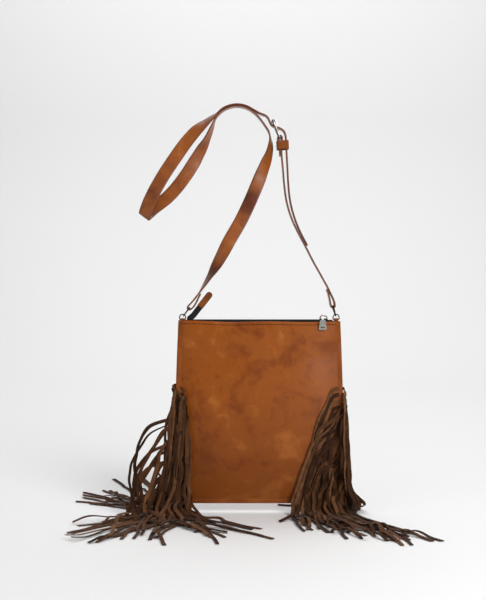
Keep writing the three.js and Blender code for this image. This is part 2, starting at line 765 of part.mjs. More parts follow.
// Rod used to punch a round hole through the strap.
function punch(at, way, width, length) {
  const rod = new THREE.CylinderGeometry(width / 2, width / 2, length, 8);
  const turn = new THREE.Quaternion().setFromUnitVectors(vec(0, 1, 0), way);
  return rod.applyQuaternion(turn).translate(at.x, at.y, at.z);
}

function longStrap() {
  const body = strip(longStrapStations(), strapWidth, strapThickness);
  const tools = [punch(onBuckle(10, 2.2), prongWay, holeWidth, 16)];
  const tongue = new THREE.CatmullRomCurve3(tongueStations().map((station) => station.at));
  const length = tongue.getLength();
  for (let i = 0; i < holeCount; i++) {
    const u = (length - 16 - i * holePitch) / length;
    const along = tongue.getTangentAt(u);
    tools.push(punch(tongue.getPointAt(u), vec(along.z, 0, -along.x).normalize(), holeWidth, strapThickness + 1.6));
  }
  return cut(body, ...tools);
}

function buckleFrame() {
  const half = (buckleWidth - buckleWire) / 2;
  const bend = 3;
  const corner = (down, y) => {
    const points = [];
    for (const angle of [0, 45, 90]) {
      const a = degToRad(angle);
      const d = down > 0 ? buckleLength - bend + bend * Math.sin(a) : bend - bend * Math.sin(a);
      points.push([d, y * (half - bend + bend * Math.cos(a))]);
    }
    return points;
  };
  const rows = [...corner(1, 1), ...corner(1, -1).reverse(), ...corner(-1, -1), ...corner(-1, 1).reverse()];
  const points = rows.map(([d, y]) => onBuckle(d, 0).setY(y));
  return wire(points, buckleOut, buckleWire / 2, 8, true);
}

function buckleRoller() {
  const length = buckleWidth - 2 * buckleWire - 4.2;
  const shape = new THREE.Shape().absarc(0, 0, rollerRadius, 0, 2 * Math.PI);
  shape.holes.push(new THREE.Path().absarc(0, 0, buckleWire / 2 + clearance, 0, 2 * Math.PI, true));
  return plate(shape, length, onBuckle(0, 0), buckleOut, buckleDown.clone().negate());
}

// Prong: an eye round the heel bar and a tapered bar that rests on the roller.
function buckleProng() {
  const eyeHole = buckleWire / 2 + clearance;
  const eye = new THREE.Shape().absarc(0, 0, eyeHole + 1.2, 0, 2 * Math.PI);
  eye.holes.push(new THREE.Path().absarc(0, 0, eyeHole, 0, 2 * Math.PI, true));
  const ring = plate(eye, prongWire, heelBar, buckleOut, buckleDown.clone().negate());
  const length = prongTip.distanceTo(heelBar);
  const normal = prongWay.clone().cross(vec(0, 1, 0));
  const rod = new THREE.CylinderGeometry(prongWire * 0.36, prongWire / 2, length - eyeHole - 0.5, 8);
  const middle = heelBar.clone().addScaledVector(prongWay, (length + eyeHole + 0.5) / 2);
  const basis = new THREE.Matrix4().makeBasis(normal, prongWay, normal.clone().cross(prongWay));
  rod.applyMatrix4(basis.setPosition(middle));
  return joined(ring, rod);
}

// From the folded end's inner face, still wide after its bar, to the tongue's outer face.
const keeperInner = -(strapThickness + clearance / 2 + 1.2);
const keeperOuter = clearance / 2 + strapThickness + tongueGap + 0.5;
const keeperSpan = keeperOuter - keeperInner;

// Leather loop round the folded short strap and the tongue.
function strapKeeper() {
  const gap = clearance + 0.35;
  const halfInner = [(keeperSpan + gap) / 2, strapWidth / 2 + gap];
  const loop = (grow) => {
    const [a, b] = [halfInner[0] + grow, halfInner[1] + grow];
    const c = 0.6 + grow * 0.8;
    return flat([-a + c, -b], [a - c, -b], [a, -b + c], [a, b - c], [a - c, b], [-a + c, b], [-a, b - c],
      [-a, -b + c]);
  };
  const shape = new THREE.Shape(loop(keeperLeather));
  shape.holes.push(new THREE.Path(loop(0).reverse()));
  const centre = heelBar
    .clone()
    .addScaledVector(keeperAway, heelFold + keeperHeight / 2 + 1)
    .addScaledVector(keeperSide, (keeperInner + keeperOuter) / 2);
  return plate(shape, keeperHeight, centre, keeperSide, vec(0, 1, 0));
}

// Fringe. Each lace is one strip: a tail, a turn through its slit and round the edge, a tail.

// Repeatable spread of values between 0 and 1.
function makeSpread(seed) {
  let state = seed;
  return () => {
    state = (state * 1664525 + 1013904223) % 4294967296;
    return state / 4294967296;
  };
}

// The turn through the slit, as points of (outwards, towards the front, up) and its outer normal.
function laceTurn(side, depth) {
  const lap = clearance / 2 + panelLeather + clearance + laceThickness / 2;
  const x = side * (halfWidth(depth) - slitInset);
  const onPanel = outerFace(x - side * 7.5, depth) + clearance + laceThickness / 2;
  const out = slitInset + clearance + laceThickness / 2;
  const rows = [
    [-7.5, -onPanel - 1.2, -1.2, 0, -1], [-3.6, -lap - 0.5, -0.2, 0, -1], [-1.2, -lap + 0.1, 0, -0.3, -1],
    [0, -1.5, 0, -1, -0.3], [0, 1.5, 0, -1, 0.3], [1.2, lap - 0.2, 0, -0.3, 1],
    [slitInset - 0.2, lap + 0.15, -0.3, 0.3, 1], [out + 0.3, lap - 0.4, -0.6, 0.8, 0.6],
    [out + 0.65, 0.6, -1.2, 1, 0], [out + 0.7, -1.8, -2.2, 0.9, -0.5],
    [out + 0.9, -lap - 1.2, -4, 0.4, -0.9],
  ];
  return rows.map(([u, y, up, nu, ny]) => ({
    at: vec(x + side * u, y, heightAt(depth) + up),
    normal: vec(side * nu, ny, 0).normalize(),
  }));
}

// First guess of a tail: down along the panel to its lane, then out over the floor.
function tailGuess(start, { lane, layer, heading, length, wave }) {
  const rise = start.z - floorZ;
  const fallPoints = clamp(Math.round((rise / length) * tailSteps), 1, tailSteps - 3);
  const land = vec(lane, -(layer + 14), floorZ + 2 + layer * 0.4);
  const points = [];
  for (let i = 1; i <= fallPoints; i++) {
    const t = i / fallPoints;
    const x = lerp(start.x, land.x, Math.min(1, t * 1.35) ** 0.85);
    const z = lerp(start.z, land.z + 10 * (1 - t), t);
    const depth = clamp(-z - ringAxisRise, 0, bagHeight);
    const inside = Math.abs(x) < halfWidth(depth);
    const face = inside ? outerFace(x, depth) : 0;
    points.push(vec(x, -Math.max(face + 2.2 + layer, 5 + layer), z));
  }
  const onFloor = Math.max(30, length - Math.hypot(rise, land.x - start.x));
  const way = vec(Math.sin(heading), -Math.cos(heading), 0);
  const straightBack = vec(0, 1, 0);
  const sideWay = vec(Math.cos(heading), Math.sin(heading), 0);
  const floorPoints = tailSteps - fallPoints;
  const last = points[points.length - 1];
  for (let i = 1; i <= floorPoints; i++) {
    const t = i / floorPoints;
    const sway = wave.size * Math.sin(wave.phase + t * wave.turns * Math.PI) * t;
    const point = last.clone().addScaledVector(way, t * onFloor).addScaledVector(sideWay, sway);
    if (i === 1 && way.y > 0) {
      point.copy(last).addScaledVector(straightBack, t * onFloor);
    }
    point.z = floorZ + 1.2 + Math.max(0, layer * (1 - t * 1.4)) + wave.lift * t ** 3;
    points.push(point);
  }
  return { points, fallPoints };
}

// The inner tails fan out in front of the pouch and the outer tails behind it, so that it hangs plumb.
function fringePlan() {
  const spread = makeSpread(23);
  const edge = bottomWidth / 2;
  const laces = [];
  for (const side of [-1, 1]) {
    for (let k = 0; k < laceCount; k++) {
      const turn = laceTurn(side, slitDepths[k]);
      const share = k / (laceCount - 1);
      const group = k % 3;
      const plan = (start, lane, layer, heading, reach) => {
        const wave = {
          size: 6 + 16 * spread(),
          phase: 6.28 * spread(),
          turns: 1 + 1.5 * spread(),
          lift: spread() > 0.86 ? 26 * spread() : 0,
        };
        const length = tailLength * reach * (0.9 + 0.2 * spread());
        const way = degToRad(heading);
        const guess = tailGuess(start, { lane, layer, heading: way, length, wave });
        return { start, length, behind: Math.cos(way) < 0, ...guess };
      };
      const innerLane = side > 0 ? lerp(edge - 82, edge + 2, share) : -(edge - 3 - 5 * group);
      const innerLayer = side > 0 ? 1 : 1 + 9 * (1 - share);
      const innerHeading = side > 0 ? lerp(2, 36, share) + 14 * (spread() - 0.5) : lerp(-62, 68, spread());
      const outerLane = side * (edge + 4 + 6 * group);
      const outerHeading = side > 0 ? lerp(-172, -120, spread()) : lerp(-178, -104, spread());
      const tails = [
        plan(turn[0].at, innerLane, innerLayer, innerHeading, frontReach),
        plan(turn[turn.length - 1].at, outerLane, 2 + 9 * (1 - share), outerHeading, behindReach),
      ];
      laces.push({ side, k, turn, tails });
    }
  }
  return laces;
}

// Nearest points of two stretches, as shares along each and the distance between them.
function nearest(a, b, c, d) {
  const u = b.clone().sub(a);
  const v = d.clone().sub(c);
  const w = a.clone().sub(c);
  const uu = u.dot(u);
  const uv = u.dot(v);
  const vv = v.dot(v);
  const uw = u.dot(w);
  const vw = v.dot(w);
  const flatness = uu * vv - uv * uv;
  let s = flatness > 1e-9 ? clamp((uv * vw - vv * uw) / flatness, 0, 1) : 0.5;
  let t = clamp((uv * s + vw) / vv, 0, 1);
  s = clamp((uv * t - uw) / uu, 0, 1);
  const gap = w.addScaledVector(u, s).addScaledVector(v, -t);
  return { s, t, gap };
}

// Settles the tails: each keeps its length, lies outside the pouch and on or above the floor,
// and stays a lace's width from every other one.
function settle(laces) {
  const apart = Math.hypot(laceWidth, laceThickness) + 3 * clearance;
  const chains = [];
  laces.forEach((lace, id) => {
    lace.tails.forEach((tail) => {
      const nodes = [tail.start.clone(), ...tail.points.map((p) => p.clone())];
      chains.push({ nodes, free: nodes.map((_, i) => i > 0), step: tail.length / tailSteps, id, tail });
    });
    chains.push({ nodes: lace.turn.map((t) => t.at), free: lace.turn.map(() => false), id });
  });
  const stretches = [];
  chains.forEach((chain) => {
    for (let i = 0; i < chain.nodes.length - 1; i++) {
      stretches.push({ chain, i, half: chain.nodes[i].distanceTo(chain.nodes[i + 1]) / 2 + apart / 2 + 2 });
    }
  });
  const rounds = 320;
  for (let round = 0; round < rounds; round++) {
    const ending = round > rounds - 200;
    for (const chain of chains) {
      if (!chain.tail) {
        continue;
      }
      for (let i = 1; i < chain.nodes.length; i++) {
        const node = chain.nodes[i];
        if (!ending) {
          node.z -= 0.25;
        }
        if (i < chain.nodes.length - 1) {
          const middle = chain.nodes[i - 1].clone().add(chain.nodes[i + 1]).multiplyScalar(0.5);
          const sharp = chain.nodes[i - 1].distanceTo(chain.nodes[i + 1]) < 1.7 * chain.step;
          node.lerp(middle, sharp ? 0.3 : ending ? 0 : 0.04);
        }
      }
      for (let i = 1; i < chain.nodes.length; i++) {
        const [a, b] = [chain.nodes[i - 1], chain.nodes[i]];
        const gap = b.clone().sub(a);
        const wrong = (gap.length() - chain.step) / gap.length();
        const share = chain.free[i - 1] ? 0.5 : 0;
        a.addScaledVector(gap, wrong * share);
        b.addScaledVector(gap, -wrong * (1 - share));
      }
      const fall = chain.tail.fallPoints;
      chain.nodes.forEach((node, i) => {
        if (chain.free[i]) {
          keepOut(node, chain.tail.behind && i > fall ? 1 : -1);
        }
        if (chain.tail.behind && (i === fall || i === fall + 1)) {
          roundTheEdge(node, i === fall ? -1 : 1);
        }
      });
    }
    for (let m = 0; m < stretches.length; m++) {
      const one = stretches[m];
      const [a, b] = [one.chain.nodes[one.i], one.chain.nodes[one.i + 1]];
      for (let n = m + 1; n < stretches.length; n++) {
        const two = stretches[n];
        const joinedUp = one.chain === two.chain ? n - m < 3 : !one.chain.tail || !two.chain.tail;
        if (one.chain.id === two.chain.id && joinedUp) {
          continue;
        }
        const [c, d] = [two.chain.nodes[two.i], two.chain.nodes[two.i + 1]];
        const reach = one.half + two.half;
        if (Math.abs(a.x + b.x - c.x - d.x) > 2 * reach || Math.abs(a.z + b.z - c.z - d.z) > 2 * reach
          || Math.abs(a.y + b.y - c.y - d.y) > 2 * reach) {
          continue;
        }
        const { s, t, gap } = nearest(a, b, c, d);
        const distance = gap.length();
        if (distance >= apart || distance < 1e-6) {
          continue;
        }
        const push = ((apart - distance) / distance) * 0.5;
        const move = (stretch, at, sign) => {
          if (stretch.chain.free[stretch.i]) {
            stretch.chain.nodes[stretch.i].addScaledVector(gap, sign * push * (1 - at));
          }
          if (stretch.chain.free[stretch.i + 1]) {
            stretch.chain.nodes[stretch.i + 1].addScaledVector(gap, sign * push * at);
          }
        };
        move(one, s, 1.1);
        move(two, t, -1.1);
      }
    }
  }
  for (const chain of chains) {
    if (chain.tail) {
      chain.tail.points = chain.nodes.slice(1);
    }
  }
}

const laceRoom = laceWidth / 2 + clearance;

// Moves a point of a tail up onto the floor and out of the pouch, in front of it or behind.
function keepOut(node, side) {
  node.z = Math.max(node.z, floorZ + 1.1);
  const depth = -node.z - ringAxisRise;
  const held = clamp(depth, 0, bagHeight - cornerRadius);
  if (depth < 0 || depth > bagHeight + 3 * laceRoom || Math.abs(node.x) > halfWidth(held) + laceRoom) {
    return;
  }
  const face = outerFace(node.x, held) + laceRoom;
  node.y = side * Math.max(side * node.y, face);
}

// Keeps a point of a tail beside the pouch, where it passes from the front to behind.
function roundTheEdge(node, side) {
  const beside = bottomWidth / 2 + 1.5 * laceRoom;
  node.x = Math.sign(node.x) * Math.max(Math.abs(node.x), beside);
  node.y = side * Math.max(side * node.y, 2 * laceRoom);
}

// Carries the turn's width direction along a tail, and lays the strip flat where it lies down.
function tailStations(points, firstAcross, firstAlong) {
  const along = directions(points);
  let across = firstAcross.clone();
  let before = firstAlong.clone();
  return points.map((at, i) => {
    across = across.clone().applyQuaternion(new THREE.Quaternion().setFromUnitVectors(before, along[i]));
    before = along[i];
    const flatAcross = along[i].clone().cross(vec(0, 0, 1));
    const lying = smoothstep(flatAcross.length(), 0.6, 1) * (1 - smoothstep(at.z, floorZ + 8, floorZ + 30));
    flatAcross.multiplyScalar(Math.sign(flatAcross.dot(across)) || 1).normalize();
    across.lerp(flatAcross, 0.4 * lying).projectOnPlane(along[i]).normalize();
    return { at, across };
  });
}

function laceSolid(lace) {
  const turnAlong = directions(lace.turn.map((station) => station.at));
  const turn = lace.turn.map(({ at, normal }, i) => ({ at, across: turnAlong[i].clone().cross(normal) }));
  const last = turn.length - 1;
  const [inner, outer] = lace.tails;
  const front = tailStations(inner.points, turn[0].across, turnAlong[0].clone().negate());
  const behind = tailStations(outer.points, turn[last].across, turnAlong[last]);
  return strip([...front.reverse(), ...turn, ...behind], laceWidth, laceThickness);
}

const bag = new THREE.Group();
bag.position.copy(bagOrigin);
const slits = laceSlits();
bag.add(named('back_panel', cut(panel(-1), ...slits), tan));
bag.add(named('front_panel', cut(panel(1), ...slits), tan));
bag.add(named('lining', lining(), cloth));
bag.add(named('zip_tape_back', zipTapeWithTail(), blackTape));
bag.add(named('zip_tape_front', zipTape(1), blackTape));
bag.add(named('zip_teeth_back', zipTeeth(-1), gunmetal));
bag.add(named('zip_teeth_front', zipTeeth(1), gunmetal));
bag.add(named('zip_slider', zipSlider(), gunmetal));
bag.add(named('zip_pull', zipPull(), nickel));
bag.add(named('zip_end_tab', zipEndTab(), tanStrap));
for (const [name, side] of [['left', -1], ['right', 1]]) {
  bag.add(named(`ring_tab_${name}`, ringTab(side), tanStrap));
  bag.add(named(`d_ring_${name}`, dRing(side), gunmetal));
}

const fringe = fringePlan();
settle(fringe);
for (const lace of fringe) {
  const name = `lace_${lace.side < 0 ? 'left' : 'right'}_${String(lace.k + 1).padStart(2, '0')}`;
  bag.add(named(name, laceSolid(lace), suede));
}

const strap = new THREE.Group();
strap.add(named('long_strap', longStrap(), tanStrap));
strap.add(named('buckle_strap', buckleStrap(), tanStrap));
strap.add(named('link_left', link(-1, leftLinkLean), gunmetal));
strap.add(named('link_right', link(1, rightLinkLean), gunmetal));
strap.add(named('buckle_frame', buckleFrame(), nickel));
strap.add(named('buckle_roller', buckleRoller(), nickel));
strap.add(named('buckle_prong', buckleProng(), nickel));
strap.add(named('strap_keeper', strapKeeper(), tanStrap));

const part = new THREE.Group();
part.add(strap);
part.add(bag);

export default part;
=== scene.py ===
# %% [markdown]
# # A fringed leather shoulder bag
#
# The real bag is two panels of smooth waxed leather sewn together, a zip across the mouth, a long
# buckled strap, and a fringe of dark suede laces threaded through slits in both side edges. The CAD
# frame holds every piece at its true place and size. This lesson gives the soft pieces their real
# surfaces, gives leather, suede and metal their finishes, and sets the bag in a plain bright studio.

# %% Load the frame
import math

import bpy
import numpy as np
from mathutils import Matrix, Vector


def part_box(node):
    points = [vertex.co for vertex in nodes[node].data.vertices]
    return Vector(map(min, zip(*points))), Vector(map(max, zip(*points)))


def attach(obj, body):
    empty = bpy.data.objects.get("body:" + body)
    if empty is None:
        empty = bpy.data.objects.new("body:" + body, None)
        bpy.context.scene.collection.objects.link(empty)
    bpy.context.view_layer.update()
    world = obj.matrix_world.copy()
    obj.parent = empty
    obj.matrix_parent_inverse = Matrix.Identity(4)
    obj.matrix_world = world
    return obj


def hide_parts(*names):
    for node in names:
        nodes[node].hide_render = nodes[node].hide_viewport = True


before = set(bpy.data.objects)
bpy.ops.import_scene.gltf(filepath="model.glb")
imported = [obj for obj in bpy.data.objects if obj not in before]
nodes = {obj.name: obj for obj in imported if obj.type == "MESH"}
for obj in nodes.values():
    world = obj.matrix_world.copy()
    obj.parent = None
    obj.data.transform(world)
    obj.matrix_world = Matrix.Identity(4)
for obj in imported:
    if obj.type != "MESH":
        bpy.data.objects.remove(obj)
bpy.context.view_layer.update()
MM = 0.001

# %% [markdown]
# ## Pieces from arrays
#
# Each new piece is one sheet of points in rows and columns, made by a formula for whole arrays at
# These helpers join the points by faces, shade them smooth with their true edges kept sharp, give the
# piece its material and hang it on the moving body that carries it.

# %% Faces and pieces
SHARP_ANGLE = math.radians(38)
STRIP_UV = "along_across"


def add_piece(name, points, faces, material, body, uv=None):
    """One smooth-shaded mesh piece from an array of points and a list of faces."""
    mesh = bpy.data.meshes.new(name)
    mesh.from_pydata(np.asarray(points, float).tolist(), [], [list(map(int, f)) for f in faces])
    if uv is not None:
        layer = mesh.uv_layers.new(name=STRIP_UV)
        corners = np.empty(len(mesh.loops), dtype=np.int32)
        mesh.loops.foreach_get("vertex_index", corners)
        layer.data.foreach_set("uv", np.asarray(uv, np.float32)[corners].ravel())
    mesh.shade_smooth()
    mesh.set_sharp_from_angle(angle=SHARP_ANGLE)
    mesh.materials.append(material)
    mesh.update()
    piece = bpy.data.objects.new(name, mesh)
    bpy.context.scene.collection.objects.link(piece)
    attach(piece, body)
    return piece


def tube_faces(rows, sides):
    """Quads that join each row of points to the next all round, and one face across each end."""
    row, side = np.meshgrid(np.arange(rows - 1), np.arange(sides), indexing="ij")
    here = row * sides
    above = here + sides
    after = (side + 1) % sides
    quads = np.stack([here + side, here + after, above + after, above + side], -1)
    first_end = list(range(sides))[::-1]
    last_end = [(rows - 1) * sides + i for i in range(sides)]
    return quads.reshape(-1, 4).tolist() + [first_end, last_end]


print("a tube of 3 rows and 4 sides has", len(tube_faces(3, 4)), "faces")

# %% [markdown]
# ## Smooth steps and lines
#
# A strap or a lace is a profile carried along its centre line. The line has to run smoothly through
# the places measured on it, so each stretch is a cubic that meets its neighbours with one slope.

# %% Unit vectors, smooth steps and smooth lines
TINY = 1e-12


def unit(v):
    """Each row divided by its own length."""
    return v / np.maximum(np.linalg.norm(v, axis=-1, keepdims=True), TINY)


def rise(x, a, b):
    """Smooth step from 0 at a to 1 at b: t^2 (3 - 2 t), where t is the share of the way."""
    t = np.clip((x - a) / (b - a), 0, 1)
    return t * t * (3 - 2 * t)


def smooth_line(values, count):
    """A cubic through the rows, as count rows spaced evenly along it, and their distances.

    Between two rows it is p0 (2 t^3 - 3 t^2 + 1) + m0 (t^3 - 2 t^2 + t) + p1 (3 t^2 - 2 t^3)
    + m1 (t^3 - t^2), where p are the rows, m their slopes, and t goes from 0 to 1.
    """
    steps = np.linalg.norm(np.diff(values[:, :3], axis=0), axis=1)
    place = np.concatenate([[0], np.cumsum(steps)])
    s = np.linspace(0, place[-1], count)
    i = np.clip(np.searchsorted(place, s, side="right") - 1, 0, len(values) - 2)
    span = (place[i + 1] - place[i])[:, None]
    t = (s - place[i])[:, None] / span
    slope = np.gradient(values, place, axis=0)
    from_start = (2 * t**3 - 3 * t**2 + 1) * values[i] + (t**3 - 2 * t**2 + t) * slope[i] * span
    from_end = (3 * t**2 - 2 * t**3) * values[i + 1] + (t**3 - t**2) * slope[i + 1] * span
    return from_start + from_end, s


print("a smooth step a quarter of the way:", rise(0.25, 0, 1))

# %% [markdown]
# ## Centre lines of the CAD strips
#
# A CAD strap or lace is a strip whose corners lie in sections of four. Corners that share a place
# are taken as one. A walk starts at one end, and all that the last section's edges lead to is the
# next section, which gives the sections in order.

# %% Sections of a strip
SAME_PLACE = 2e-5
SECTION = 4
OVER_WIDTH = 2
END_NEIGHBOURS = 5
SECTION_REACH = 2.6 * MM


def merged_corners(node):
    """The places of a CAD node's corners, each once, and the pairs of them that edges join."""
    mesh = nodes[node].data
    raw = np.empty(3 * len(mesh.vertices))
    mesh.vertices.foreach_get("co", raw)
    raw = raw.reshape(-1, 3)
    on_grid = np.round(raw / SAME_PLACE).astype(int)
    _, first, same = np.unique(on_grid, axis=0, return_index=True, return_inverse=True)
    pairs = np.empty(2 * len(mesh.edges), dtype=np.int32)
    mesh.edges.foreach_get("vertices", pairs)
    return raw[first], same.ravel()[pairs].reshape(-1, 2)


def first_section(points, near, kept, begin):
    """The corners nearest to an end corner, or those beside the corner where begin is least."""
    if begin is None:
        corner = next(v for v in range(len(points)) if len(near[v]) <= END_NEIGHBOURS)
        return np.argsort(np.linalg.norm(points - points[corner], axis=1))[:SECTION].tolist()
    corner = min(np.flatnonzero(kept), key=lambda v: begin(points[v]))
    beside = np.linalg.norm((points - points[corner])[:, [0, 2]], axis=1)
    return np.flatnonzero((beside < SECTION_REACH) & kept).tolist()


def sections_of(node, keep=None, begin=None):
    """Centres and across vectors of a CAD strip's sections, from one end to the other.

    A centre is the mean of four corners. The across vector runs over the strip's width, which is
    the middle one of a corner's three distances to the others, and agrees with the one before.
    """
    points, pairs = merged_corners(node)
    kept = np.ones(len(points), bool) if keep is None else keep(points)
    near = [set() for _ in points]
    for a, b in pairs:
        if a != b and kept[a] and kept[b]:
            near[a].add(b)
            near[b].add(a)
    layer = first_section(points, near, kept, begin)
    seen = set(layer)
    centres, across = [], []
    while layer:
        if len(layer) == SECTION:
            corners = points[layer]
            order = np.argsort(np.linalg.norm(corners - corners[0], axis=1))
            wide = corners[order[OVER_WIDTH]] - corners[0]
            if across and wide @ across[-1] < 0:
                wide = -wide
            centres.append(corners.mean(axis=0))
            across.append(wide / np.linalg.norm(wide))
        layer = sorted({n for v in layer for n in near[v]} - seen)
        seen.update(layer)
    return np.array(centres), np.array(across)


print("a lace has", len(sections_of("lace_right_01")[0]), "sections")

# %% [markdown]
# The tongue's punched holes and the prong's slot add corners away from the edges, so these are left
# out, and each walk starts at a named end: the tongue's lower tip, and the end of the short strap's
# fold at the buckle.

# %% Sections of both straps
HOLE_ZONE = 3.4 * MM
TONGUE_FROM_X = 0.05
TONGUE_TIP_X = 0.06
STRAP_EDGE = 9.9 * MM
FOLD_END_X = 0.0641
FOLD_END_Z = -0.0737


def off_the_holes(points):
    """True for every corner but those of the tongue's holes."""
    return ~((np.abs(points[:, 1]) < HOLE_ZONE) & (points[:, 0] > TONGUE_FROM_X))


def at_the_edges(points):
    """True for the corners on a strap's two edges."""
    return np.abs(points[:, 1]) > STRAP_EDGE


def height_of_tongue(place):
    """The height of a corner of the tongue, and more than that anywhere else."""
    return place[2] if place[0] > TONGUE_TIP_X else 1


def from_fold_end(place):
    """How far a corner is from the end of the short strap's fold."""
    return abs(place[0] - FOLD_END_X) + abs(place[2] - FOLD_END_Z)


long_sections = sections_of("long_strap", off_the_holes, height_of_tongue)
short_sections = sections_of("buckle_strap", at_the_edges, from_fold_end)
print("strap sections:", len(long_sections[0]), "and", len(short_sections[0]))

# %% [markdown]
# ## Finishes
#
# Each effect is a node group, made once and used by every material that needs it. These helpers
# make groups and nodes, and set constants directly on the sockets.

# %% Node helpers
# A Mix node has sockets for each kind of value. These are the places of those used here.
MIX_SHARE = 0
MIX_VALUES = (2, 3)
MIXED_VALUE = 0
MIX_COLOURS = (6, 7)
MIXED_COLOUR = 2


def new_group(name, outputs):
    """An empty node group with the given (name, kind) outputs, and the node that collects them."""
    group = bpy.data.node_groups.new(name, "ShaderNodeTree")
    for label, kind in outputs:
        group.interface.new_socket(label, in_out="OUTPUT", socket_type=kind)
    return group, group.nodes.new("NodeGroupOutput")


def add(tree, kind, **values):
    """A node with its settings and the default values of its sockets."""
    node = tree.nodes.new(kind)
    for key, value in values.items():
        if hasattr(node, key):
            setattr(node, key, value)
        else:
            node.inputs[key].default_value = value
    return node


def object_place(tree):
    """The place of each point in the piece's own space, in metres."""
    return tree.nodes.new("ShaderNodeTexCoord").outputs["Object"]


def ramp(tree, stops):
    """A colour ramp through (place, colour) stops."""
    node = tree.nodes.new("ShaderNodeValToRGB")
    elements = node.color_ramp.elements
    while len(elements) < len(stops):
        elements.new(0.5)
    for element, (place, colour) in zip(elements, stops):
        element.position = place
        element.color = (*colour, 1)
    return node


def noise(tree, where, scale, detail, rough, twist):
    """Clouds of noise, about one for every 1 / scale metres, with finer ones laid over them."""
    node = add(tree, "ShaderNodeTexNoise", Scale=scale, Detail=detail, Roughness=rough, Distortion=twist)
    tree.links.new(where, node.inputs["Vector"])
    return node.outputs["Fac"]


def mix_values(tree, a, b, share):
    """a (1 - share) + b share."""
    node = add(tree, "ShaderNodeMix", data_type="FLOAT")
    node.inputs[MIX_SHARE].default_value = share
    tree.links.new(a, node.inputs[MIX_VALUES[0]])
    tree.links.new(b, node.inputs[MIX_VALUES[1]])
    return node.outputs[MIXED_VALUE]


def math_node(tree, operation, a, b=None, clamp=False):
    """One sum or product of two values, each a number or a socket, kept from 0 to 1 by clamp."""
    node = add(tree, "ShaderNodeMath", operation=operation, use_clamp=clamp)
    for i, value in enumerate((a, b)):
        if value is None:
            continue
        if isinstance(value, (int, float)):
            node.inputs[i].default_value = value
        else:
            tree.links.new(value, node.inputs[i])
    return node.outputs[0]


def fade_in(tree, value, start, steepness):
    """(value - start) times the steepness, kept from 0 to 1."""
    return math_node(tree, "MULTIPLY", math_node(tree, "SUBTRACT", value, start), steepness, clamp=True)


print("node helpers: group, node, ramp, noise, mix, sum and fade")

# %% [markdown]
# Waxed leather is never one colour: the wax gathers and parts, so clouds of paler and darker tan
# lie over each other at three sizes. Under the wax the leather has pores between fine creases, and
# suede has a nap of short fibres, brushed this way and that.

# %% Cloud, grain and nap groups
PORES_PER_METRE = 1100.0

clouds, out = new_group("wax_clouds", [("Cloud", "NodeSocketFloat"), ("Rough", "NodeSocketFloat")])
where = object_place(clouds)
broad = noise(clouds, where, scale=9.0, detail=3.0, rough=0.55, twist=0.6)
middle = noise(clouds, where, scale=26.0, detail=5.0, rough=0.6, twist=1.4)
small = noise(clouds, where, scale=95.0, detail=6.0, rough=0.62, twist=0.5)
soft = mix_values(clouds, broad, middle, share=0.42)
clouds.links.new(mix_values(clouds, soft, small, share=0.16), out.inputs["Cloud"])
clouds.links.new(mix_values(clouds, middle, small, share=0.5), out.inputs["Rough"])

grain, out = new_group("grain", [("Normal", "NodeSocketVector")])
where = object_place(grain)
pores = add(grain, "ShaderNodeTexVoronoi", Scale=PORES_PER_METRE)
grain.links.new(where, pores.inputs["Vector"])
crease = noise(grain, where, scale=160.0, detail=5.0, rough=0.6, twist=0.8)
bump = add(grain, "ShaderNodeBump", Distance=0.4 * MM, Strength=0.35)
grain.links.new(mix_values(grain, pores.outputs["Distance"], crease, share=0.6), bump.inputs["Height"])
grain.links.new(bump.outputs[0], out.inputs["Normal"])

nap, out = new_group("suede_nap", [("Shade", "NodeSocketFloat"), ("Normal", "NodeSocketVector")])
where = object_place(nap)
fibre = noise(nap, where, scale=1400.0, detail=4.0, rough=0.7, twist=0.4)
brushed = noise(nap, where, scale=60.0, detail=4.0, rough=0.6, twist=0.8)
nap.links.new(mix_values(nap, brushed, fibre, share=0.35), out.inputs["Shade"])
bump = add(nap, "ShaderNodeBump", Distance=0.5 * MM, Strength=0.5)
nap.links.new(fibre, bump.inputs["Height"])
nap.links.new(bump.outputs[0], out.inputs["Normal"])
print("node groups:", sorted(group.name for group in bpy.data.node_groups))

# %% [markdown]
# A panel has painted shade towards its sides and its foot, in patches. A strap has dark painted edges,
# and painted shade in stretches along it. The panel's measures come from its CAD box.

# %% Painted shade of panels, edge paint and painted shade of straps
pouch_low, pouch_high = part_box("back_panel")
MIDDLE_X = (pouch_low[0] + pouch_high[0]) / 2
HALF_X = (pouch_high[0] - pouch_low[0]) / 2
TOP_Z = pouch_high[2]
FOOT_Z = pouch_low[2]
SIDE_SHADE = 0.03
SIDE_STEEP = 16.0
FOOT_SHADE = 0.17
FOOT_STEEP = 4.6
PATCH_CONTRAST = 1.3
PATCH_SHIFT = -0.05
EDGE_FROM = 0.40
EDGE_STEEP = 11.0
SHADE_BANDS_PER_METRE = 15.0
SHADE_BANDS_FROM = 0.46
SHADE_BANDS_STEEP = 3.6


def panel_painted_shade(tree, cloud):
    """Painted shade: the larger of two fades, to the sides and to the foot, times the patches of the
    clouds.
    """
    split = tree.nodes.new("ShaderNodeSeparateXYZ")
    tree.links.new(object_place(tree), split.inputs[0])
    from_middle = math_node(tree, "ABSOLUTE", math_node(tree, "SUBTRACT", split.outputs[0], MIDDLE_X))
    by_side = fade_in(tree, from_middle, HALF_X - SIDE_SHADE, SIDE_STEEP)
    under = math_node(tree, "SUBTRACT", FOOT_Z + FOOT_SHADE, split.outputs[2])
    by_foot = math_node(tree, "MULTIPLY", under, FOOT_STEEP, clamp=True)
    both = math_node(tree, "MAXIMUM", by_side, by_foot)
    patches = math_node(tree, "MULTIPLY", cloud.outputs["Rough"], PATCH_CONTRAST)
    patches = math_node(tree, "ADD", patches, PATCH_SHIFT)
    return math_node(tree, "MULTIPLY", both, patches, clamp=True)


